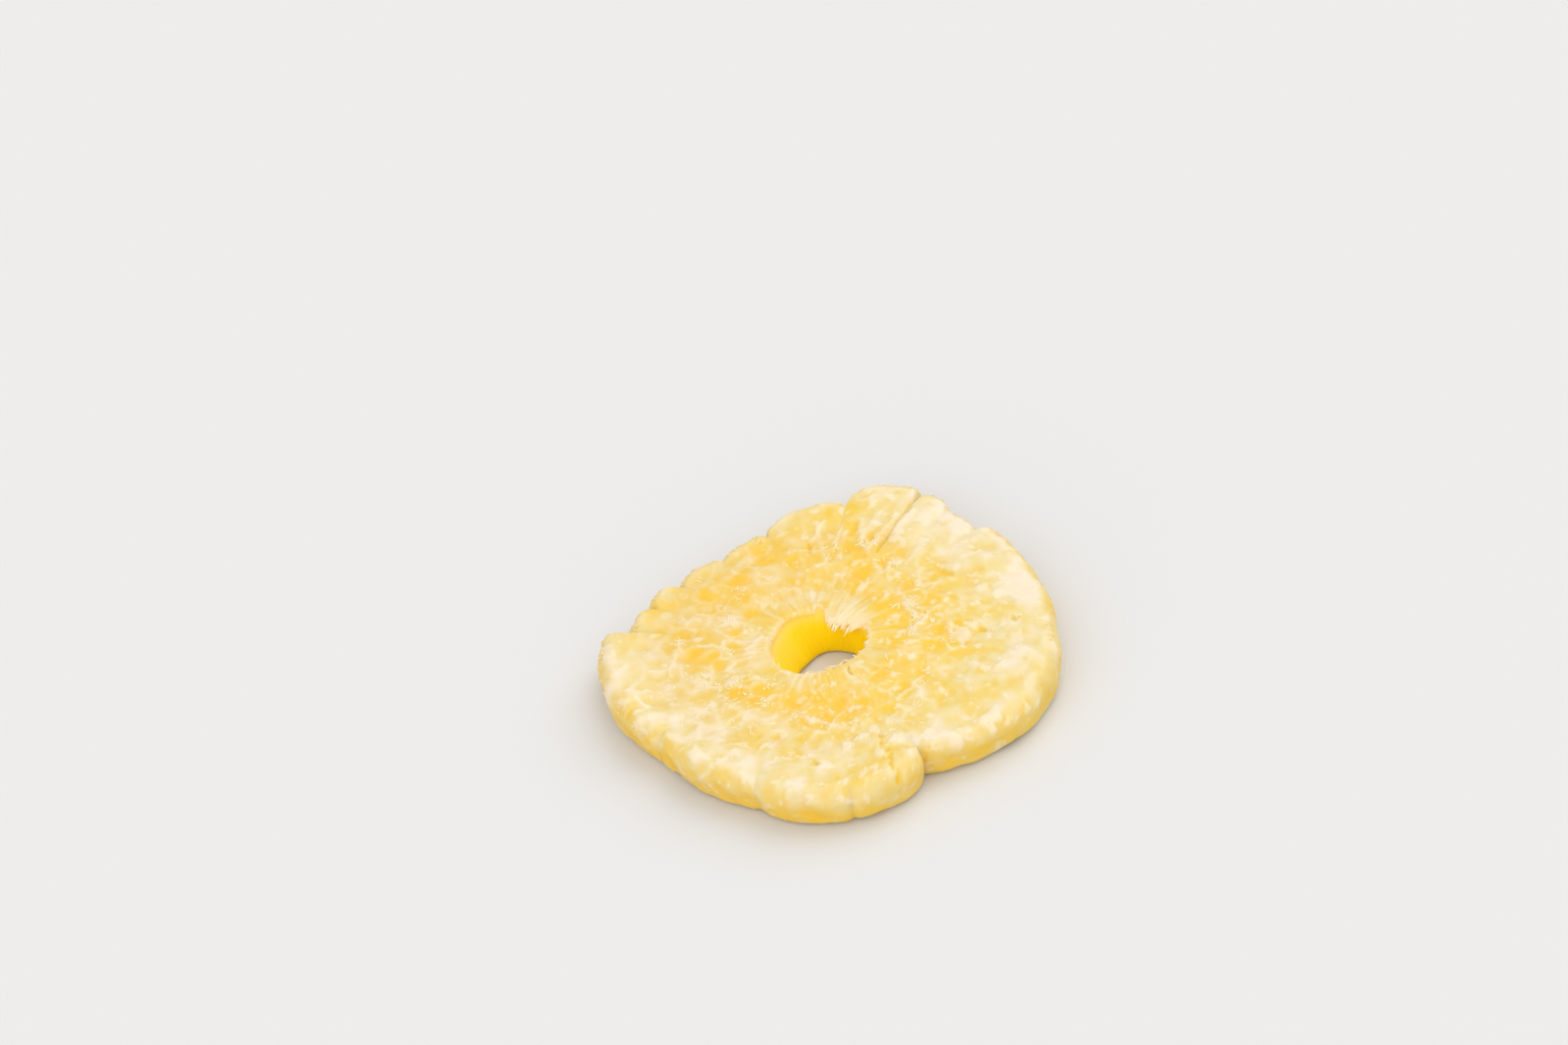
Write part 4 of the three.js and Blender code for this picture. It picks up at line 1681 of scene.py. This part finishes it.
# --- The ring -----------------------------------------------------------------------------
@dataclass(frozen=True)
class Surface:
    """The ring's finished surface: points on a closed grid, with the skin and its layers."""

    points: Array
    skin: Skin
    layers: Layers

    def quads(self) -> tuple[Array, Array, Array]:
        """Middles, outward normals and areas of the grid's faces.

        Returns:
            Three arrays, one row for each face, in the order of the grid.
        """
        here = self.points
        after = np.roll(here, -1, axis=0)
        middle = (here + after + np.roll(here, -1, axis=1) + np.roll(after, -1, axis=1)) / 4
        cross = np.cross(np.roll(after, -1, axis=1) - here, np.roll(here, -1, axis=1) - after) / 2
        area = np.linalg.norm(cross, axis=-1)
        return middle.reshape(-1, 3), unit(cross).reshape(-1, 3), area.ravel()


@dataclass(frozen=True)
class DriedRing:
    """The ring itself: one closed skin with the relief and finish of the flesh."""

    form: RingForm = RingForm()
    flesh: Flesh = Flesh()

    def surface(self) -> Surface:
        """Moves the skin along its normal by the relief, and the hole's lip inwards.

        Returns:
            The finished surface round the hole's middle, in millimetres.
        """
        skin = self.form.skin()
        layers = self.flesh.layers(skin)
        inward = self.flesh.fringe.inward(skin)
        radius = skin.radius + skin.normal_out * layers.relief - inward
        height = skin.height + skin.normal_up * layers.relief - self.flesh.fringe.droop * inward
        points = from_polar(skin.degrees, radius, np.maximum(0.0, height))
        return Surface(points, skin, layers)

    def face_height(self, degrees: Array, radius: Array) -> Array:
        """Height of the finished face at places given by angle and radius."""
        skin = self.form.face(degrees, radius)
        return skin.height + skin.normal_up * self.flesh.layers(skin).relief

    def place_in(self, low: Vector, high: Vector) -> Placement:
        """Finds the shift that sets the plain form on the bottom of the frame's box, in its middle.

        Args:
            low: the lowest corner of the CAD node, in metres.
            high: its highest corner.

        Returns:
            The placement for all that is made round the hole's middle.
        """
        points = self.form.skin().points().reshape(-1, 3)
        middle = (points.min(axis=0) + points.max(axis=0)) / 2
        target = np.array((low + high) / 2) / MM
        shift = target - middle
        shift[2] = low.z / MM
        return Placement(shift)

    def build(self, surface: Surface, placement: Placement) -> bpy.types.Object:
        """Makes the skin, with its layers as attributes.

        Args:
            surface: the finished surface.
            placement: from the hole's middle into the frame.

        Returns:
            The ring's object.
        """
        piece = make_mesh("dried_ring", placement(surface.points.reshape(-1, 3)),
                          closed_grid_faces(*surface.skin.degrees.shape))
        set_attribute(piece, "frost", surface.layers.frost)
        set_attribute(piece, "bare", self.flesh.bore.bare(surface.skin))
        set_attribute(piece, "fibre", surface.layers.fibre)
        set_attribute(piece, "warm_tint", self.flesh.warming(surface.skin))
        piece.data.materials.append(CandiedFlesh().build())
        return piece


# --- What lies on the ring ----------------------------------------------------------------
@dataclass(frozen=True)
class Tuft:
    """A tuft of torn fibres: angle and radius of its middle, its spread, and their number."""

    place: tuple[float, float]
    spread: float
    count: int


TUFTS = (
    Tuft((147, 16.8), 1.5, 13), Tuft((202, 16.3), 1.8, 17), Tuft((194, 20.5), 1.9, 17),
    Tuft((214, 18.5), 2.0, 15), Tuft((230, 17.0), 1.6, 15), Tuft((226, 12.6), 1.2, 10),
    Tuft((176, 14.2), 1.2, 7), Tuft((232, 22.6), 1.8, 12), Tuft((189, 25.0), 1.6, 10),
    Tuft((165, 23.0), 1.4, 8), Tuft((263, 20.0), 1.6, 15), Tuft((252, 18.0), 1.5, 12),
    Tuft((277, 26.0), 1.6, 9), Tuft((276, 22.0), 1.8, 12), Tuft((15, 16.2), 1.4, 12),
    Tuft((2, 16.6), 1.4, 12), Tuft((350, 15.2), 1.4, 11), Tuft((3, 19.0), 1.5, 12),
    Tuft((345, 22.8), 1.6, 11), Tuft((30, 19.0), 1.8, 11), Tuft((48, 20.5), 1.8, 12),
    Tuft((62, 24.0), 1.6, 9), Tuft((76, 22.0), 1.6, 9), Tuft((128, 19.0), 1.6, 7),
    Tuft((320, 21.5), 1.6, 9), Tuft((305, 22.5), 1.6, 9), Tuft((296, 26.5), 1.4, 7),
)


@dataclass(frozen=True)
class TornFibres:
    """Torn fibres of the flesh, stiff with sugar: tufts, loose ones, and the hole's fringe.

    steps and sides: points along a fibre and round it. thick and long: smallest and largest
    thickness and length, with short ones more common. taper: how much thinner the ends are.
    gather: how much closer than the tuft's spread its fibres lie. curl: how far a fibre
    turns, in radians. arch and tip: how high its middle and its end rise at most, and sunk
    how deep it lies in the face. loose: how many lie alone, between the radii loose_from and
    loose_to. clear: how far all keep from the hole. fringe: how many hang from the lip,
    flap_share of them on the flap, where they are up to flap_extra longer. root: how far
    outside the lip they begin. fall and fall_stray: how far they bend down for each
    millimetre, and at random. stray: how far they lean, in degrees.
    """

    name: str = "torn_fibres"
    seed: int = 11
    steps: int = 8
    sides: int = 5
    thick: tuple[float, float] = (0.16, 0.32)
    long: tuple[float, float] = (0.8, 2.4)
    taper: float = 0.6
    gather: float = 1.4
    curl: float = 2.4
    arch: float = 0.08
    tip: float = 0.10
    sunk: float = 0.07
    loose: int = 30
    loose_from: float = 9.0
    loose_to: float = 29.0
    clear: float = 0.6
    fringe: int = 44
    fringe_long: tuple[float, float] = (0.1, 0.5)
    flap_extra: float = 0.7
    flap_share: float = 0.3
    root: float = 0.7
    fall: float = 0.6
    fall_stray: float = 0.3
    stray: float = 8.0

    def build(self, ring: DriedRing, placement: Placement) -> bpy.types.Object:
        """Makes all fibres as one mesh of thin closed threads.

        Args:
            ring: gives the face's height and the fringe's place.
            placement: from the hole's middle into the frame.

        Returns:
            The fibres' object.
        """
        rng = np.random.default_rng(self.seed)
        paths = np.concatenate([self._lying(ring, rng), self._hanging(ring, rng)])
        s = np.linspace(0, 1, self.steps)
        thick = rng.uniform(*self.thick, len(paths))[:, None] / 2
        thick = thick * (1 - self.taper * (2 * s - 1) ** 2)
        points, faces = threads(paths, thick, self.sides)
        piece = make_mesh(self.name, placement(points), faces)
        piece.data.materials.append(DRY_FIBRE.build())
        return piece

    def _lying(self, ring: DriedRing, rng: np.random.Generator) -> Array:
        """Curled paths on the face, in the tufts and loose, lifted a little at middle and end."""
        middles = [on_circle(*tuft.place)
                   + rng.normal(size=(tuft.count, 2)) * tuft.spread / self.gather for tuft in TUFTS]
        turn = rng.uniform(0, 2 * np.pi, self.loose)
        away = np.sqrt(rng.uniform(self.loose_from ** 2, self.loose_to ** 2, self.loose))
        middles.append(away[:, None] * np.stack([np.cos(turn), np.sin(turn)], axis=-1))
        middle = np.concatenate(middles)
        count = len(middle)
        s = np.linspace(0, 1, self.steps)
        length = rng.uniform(0, 1, count) ** 2 * (self.long[1] - self.long[0]) + self.long[0]
        heading = rng.uniform(0, 2 * np.pi, count)[:, None]
        heading = heading + rng.normal(size=(count, 1)) * self.curl * (s - 0.5)
        run = np.cumsum(np.stack([np.cos(heading), np.sin(heading)], axis=-1), axis=1)
        run = (run - run.mean(axis=1, keepdims=True)) * (length / self.steps)[:, None, None]
        flat = middle[:, None, :] + run
        degrees = np.degrees(np.arctan2(flat[..., 1], flat[..., 0]))
        least = ring.form.hole_top(degrees) + self.clear
        radius = np.maximum(np.hypot(flat[..., 0], flat[..., 1]), least)
        arch = rng.uniform(0, self.arch, count)[:, None] * 4 * s * (1 - s)
        tip = rng.uniform(-self.tip, self.tip, count)[:, None].clip(0) * s ** 2
        height = ring.face_height(degrees, radius) + arch + tip - self.sunk
        return from_polar(degrees, radius, height)

    def _hanging(self, ring: DriedRing, rng: np.random.Generator) -> Array:
        """Paths from the hole's lip inwards, bending down; more and longer ones on the flap."""
        fringe = ring.flesh.fringe
        on_flap = rng.uniform(size=self.fringe) < self.flap_share
        flap = rng.uniform(fringe.flap_from, fringe.flap_to, self.fringe)
        elsewhere = rng.uniform(fringe.calm_to, 360 + fringe.calm_from, self.fringe)
        degrees = np.where(on_flap, flap, elsewhere)[:, None]
        share = fringe.on_flap(degrees)
        length = rng.uniform(*self.fringe_long, degrees.shape)
        length = length + share * rng.uniform(0, self.flap_extra, degrees.shape)
        s = np.linspace(0, 1, self.steps)
        lip = ring.form.hole_top(degrees) + self.root
        start = ring.face_height(degrees, lip) - fringe.droop * fringe.reach(degrees)
        radius = lip - fringe.reach(degrees) - (self.root + length) * s
        height = start - self.fall * length * s ** 2
        height = height - rng.uniform(0, self.fall_stray, degrees.shape)
        return from_polar(degrees + rng.normal(size=degrees.shape) * self.stray * s, radius, height)


@dataclass(frozen=True)
class SugarCrust:
    """Small flat flakes of set syrup, or blocky sugar crystals, stuck to the surface.

    count: how many. size: smallest and largest width. flat: height as a share of width.
    corners: points round a flake, or 0 for a block. tilt: how far they lean from the
    surface, in degrees. frost_power: how much more of them lie where the frost is thick.
    sunk: how deep they sit, as a share of their height. on_edge: whether they keep to the
    upper outer corner on its far side. bunches: noise that gathers them.
    """

    name: str
    seed: int
    count: int
    size: tuple[float, float]
    flat: float
    corners: int
    tilt: float
    frost_power: float
    sunk: float
    finish: SugaredCrumb
    on_edge: bool = False
    bunches: Noise = Noise(2.5, 19, octaves=2)

    # They lie where the skin looks no further down and is no lower than this, a few of them
    # on clear flesh too.
    FACES_UP = -0.2
    LOWEST = 1.0
    LEAST_FROST = 0.08
    # The far side: its middle angle, and how many degrees from it the crumbs of the edge
    # begin to thin out and end.
    FAR_SIDE = 90.0
    FAR_WHOLE = 54.0
    FAR_END = 144.0
    # The higher, the more common are small ones.
    SMALL_POWER = 2.5
    # A flake's edge: radii as shares, how far it waves, and how far its middle rises.
    RAGGED = (0.45, 1.2)
    WAVY = 0.3
    DOME = 0.7
    # How far a block's corners stray.
    BLUNT = 0.12

    def build(self, surface: Surface, placement: Placement) -> bpy.types.Object:
        """Strews the pieces over the face and the walls and makes them one mesh.

        Args:
            surface: the ring's finished surface.
            placement: from the hole's middle into the frame.

        Returns:
            The crust's object.
        """
        rng = np.random.default_rng(self.seed)
        middle, normal, area = surface.quads()
        frost = np.asarray(surface.layers.frost).ravel()
        clear_of_floor = (normal[:, 2] > self.FACES_UP) & (middle[:, 2] > self.LOWEST)
        on_bore = (surface.skin.radius < surface.skin.hole).ravel()
        weight = area * clear_of_floor * ~on_bore * (self.LEAST_FROST + frost) ** self.frost_power
        weight = weight * as_share(self.bunches.at(*middle.T))
        if self.on_edge:
            weight = weight * self._far_edge(surface.skin).ravel()
        chosen = rng.choice(len(area), self.count, p=weight / weight.sum())
        wide = lerp(*self.size, rng.uniform(size=self.count) ** self.SMALL_POWER)
        lean = normal[chosen] + math.radians(self.tilt) * rng.normal(size=(self.count, 3))
        shape, faces = self._flake(rng) if self.corners else self._block(rng)
        sizes = wide[:, None] * np.array([1.0, 1.0, self.flat])
        places = middle[chosen] + normal[chosen] * (wide * self.flat * (0.5 - self.sunk))[:, None]
        points, faces = copies(shape, faces, turned_to(lean, rng), sizes, places)
        piece = make_mesh(self.name, placement(points), faces, rounded=False)
        piece.data.materials.append(self.finish.build())
        return piece

    def _far_edge(self, skin: Skin) -> Array:
        """1 on the outer part of the upper corner, on the far side, and 0 elsewhere."""
        away = np.abs(signed_angle(skin.degrees - self.FAR_SIDE))
        outer_part = as_share(skin.normal_out - skin.normal_up)
        return skin.on_edge() * outer_part * (1 - rise(away, self.FAR_WHOLE, self.FAR_END))

    def _flake(self, rng: np.random.Generator) -> tuple[Array, Array]:
        """Ragged discs, thickest in the middle: an edge ring, a top point and a bottom point."""
        turn = 2 * np.pi * np.arange(self.corners) / self.corners
        out = rng.uniform(*self.RAGGED, (self.count, self.corners)) / 2
        wave = rng.uniform(-self.WAVY, self.WAVY, (self.count, self.corners))
        edge = np.stack([out * np.cos(turn), out * np.sin(turn), wave], axis=-1)
        poles = np.zeros((self.count, 2, 3))
        poles[:, 0, 2], poles[:, 1, 2] = self.DOME, -self.DOME
        k = np.arange(self.corners)
        after = (k + 1) % self.corners
        top = np.stack([k, after, np.full_like(k, self.corners)], axis=-1)
        bottom = np.stack([after, k, np.full_like(k, self.corners + 1)], axis=-1)
        return np.concatenate([edge, poles], axis=1), np.concatenate([top, bottom])

    def _block(self, rng: np.random.Generator) -> tuple[Array, Array]:
        """Blocks of eight corners, each corner a little off, with twelve triangles."""
        signs = np.array(list(itertools.product((-0.5, 0.5), repeat=3)))
        corners = signs + rng.uniform(-self.BLUNT, self.BLUNT, (self.count, *signs.shape))
        quads = np.array([[0, 1, 3, 2], [4, 6, 7, 5], [0, 4, 5, 1],
                          [2, 3, 7, 6], [0, 2, 6, 4], [1, 5, 7, 3]])
        return corners, np.concatenate([quads[:, [0, 1, 2]], quads[:, [0, 2, 3]]])


FLAKES = SugarCrust("sugar_flakes", seed=23, count=70, size=(0.40, 1.4), flat=0.16, corners=8,
                    tilt=4, frost_power=2.4, sunk=0.60, finish=SET_SYRUP)
GRAINS = SugarCrust("sugar_grains", seed=29, count=60, size=(0.14, 0.28), flat=0.8, corners=0,
                    tilt=60, frost_power=1.6, sunk=0.45, finish=SUGAR)
CRUMBS = SugarCrust("rim_crumbs", seed=31, count=450, size=(0.20, 0.45), flat=0.8, corners=0,
                    tilt=60, frost_power=1.0, sunk=0.65, finish=SUGAR, on_edge=True)


# --- Studio -------------------------------------------------------------------------------
@dataclass(frozen=True)
class Lamp:
    """A far, wide, soft light: azimuth from +Y towards +X, height over the floor, and spread."""

    name: str
    azimuth: float
    height: float
    strength: float
    spread: float

    def build(self) -> None:
        """Adds the light to the scene, looking at the origin."""
        light = bpy.data.lights.new(self.name, "SUN")
        light.energy = self.strength
        light.angle = math.radians(self.spread)
        a, e = math.radians(self.azimuth), math.radians(self.height)
        away = Vector((math.cos(e) * math.sin(a), math.cos(e) * math.cos(a), math.sin(e)))
        lamp = bpy.data.objects.new(self.name, light)
        lamp.rotation_mode = "QUATERNION"
        lamp.rotation_quaternion = away.to_track_quat("Z", "Y")
        lamp.location = away
        bpy.context.scene.collection.objects.link(lamp)


@dataclass(frozen=True)
class Studio:
    """A pale floor, soft white light and the camera.

    frame_width: width of the picture where the ring is. distance and elevation: how far the
    camera is from the target and how high it stands. roll: how far it leans to one side.
    target: the middle of the ring's face. target_offset: how far right of the picture's
    middle, and below it, the target shows. sensor: width of the camera's sensor. sky:
    brightness of the sky. floor_side: side of the square floor.
    """

    frame_width: float = 256.0
    distance: float = 1000.0
    elevation: float = 40.0
    roll: float = 11.0
    target: tuple[float, float, float] = (-0.07, 0.22, 7.6)
    target_offset: tuple[float, float] = (6.72, 19.04)
    sensor: float = 36.0
    far_clip_m: float = 20.0
    sky: float = 0.70
    floor_side: float = 6000.0
    lamps: tuple[Lamp, ...] = (Lamp("key", 58, 52, 1.10, 60), Lamp("fill", 202, 30, 1.40, 90))

    def build(self) -> None:
        """Makes the floor, the lights, the sky and the camera."""
        self._floor()
        self._sky()
        for lamp in self.lamps:
            lamp.build()
        self._camera()
        bpy.context.scene.view_settings.view_transform = "Standard"

    def _floor(self) -> None:
        """A flat square of paper at height 0."""
        half = self.floor_side * MM / 2
        corners = np.array([[-half, -half, 0], [half, -half, 0], [half, half, 0], [-half, half, 0]])
        floor = make_mesh("paper_floor", corners, np.array([[0, 1, 2, 3]]))
        floor.data.materials.append(PaintedFloor().build())

    def _sky(self) -> None:
        """An even white sky."""
        world = bpy.data.worlds.new("white_sky")
        world.use_nodes = True
        background = world.node_tree.nodes["Background"]
        background.inputs["Color"].default_value = (1, 1, 1, 1)
        background.inputs["Strength"].default_value = self.sky
        bpy.context.scene.world = world

    def _camera(self) -> None:
        """Looks down at the face, a little rolled, with the ring below and right of the middle."""
        e, roll = math.radians(self.elevation), math.radians(self.roll)
        flat = Vector((1, 0, 0))
        steep = Vector((0, math.sin(e), math.cos(e)))
        back = Vector((0, -math.cos(e), math.sin(e)))
        right = math.cos(roll) * flat - math.sin(roll) * steep
        up = math.sin(roll) * flat + math.cos(roll) * steep
        place = Vector(self.target) + back * self.distance
        place += up * self.target_offset[1] - right * self.target_offset[0]
        data = bpy.data.cameras.new("camera")
        data.sensor_width = self.sensor
        data.lens = self.sensor * self.distance / self.frame_width
        data.clip_end = self.far_clip_m
        camera = bpy.data.objects.new("camera", data)
        axes = Matrix((right, up, back)).transposed()
        camera.matrix_world = Matrix.Translation(place * MM) @ axes.to_4x4()
        bpy.context.scene.collection.objects.link(camera)
        bpy.context.scene.camera = camera


def main() -> None:
    """Builds the ring, what lies on it and the studio round it."""
    logging.basicConfig(level=logging.INFO, format="%(name)s: %(message)s")
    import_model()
    low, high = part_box(NODE)
    ring = DriedRing()
    placement = ring.place_in(low, high)
    log.info("middle of the hole at %s mm", np.round(placement.shift, 3))
    surface = ring.surface()
    skin = ring.build(surface, placement)
    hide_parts(NODE)
    pieces = [skin, TornFibres().build(ring, placement)]
    pieces += [crust.build(surface, placement) for crust in (FLAKES, GRAINS, CRUMBS)]
    for piece in pieces:
        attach(piece, BODY)
        log.info("%s: %d faces", piece.name, len(piece.data.polygons))
    Studio().build()


if __name__ == "__main__":
    main()
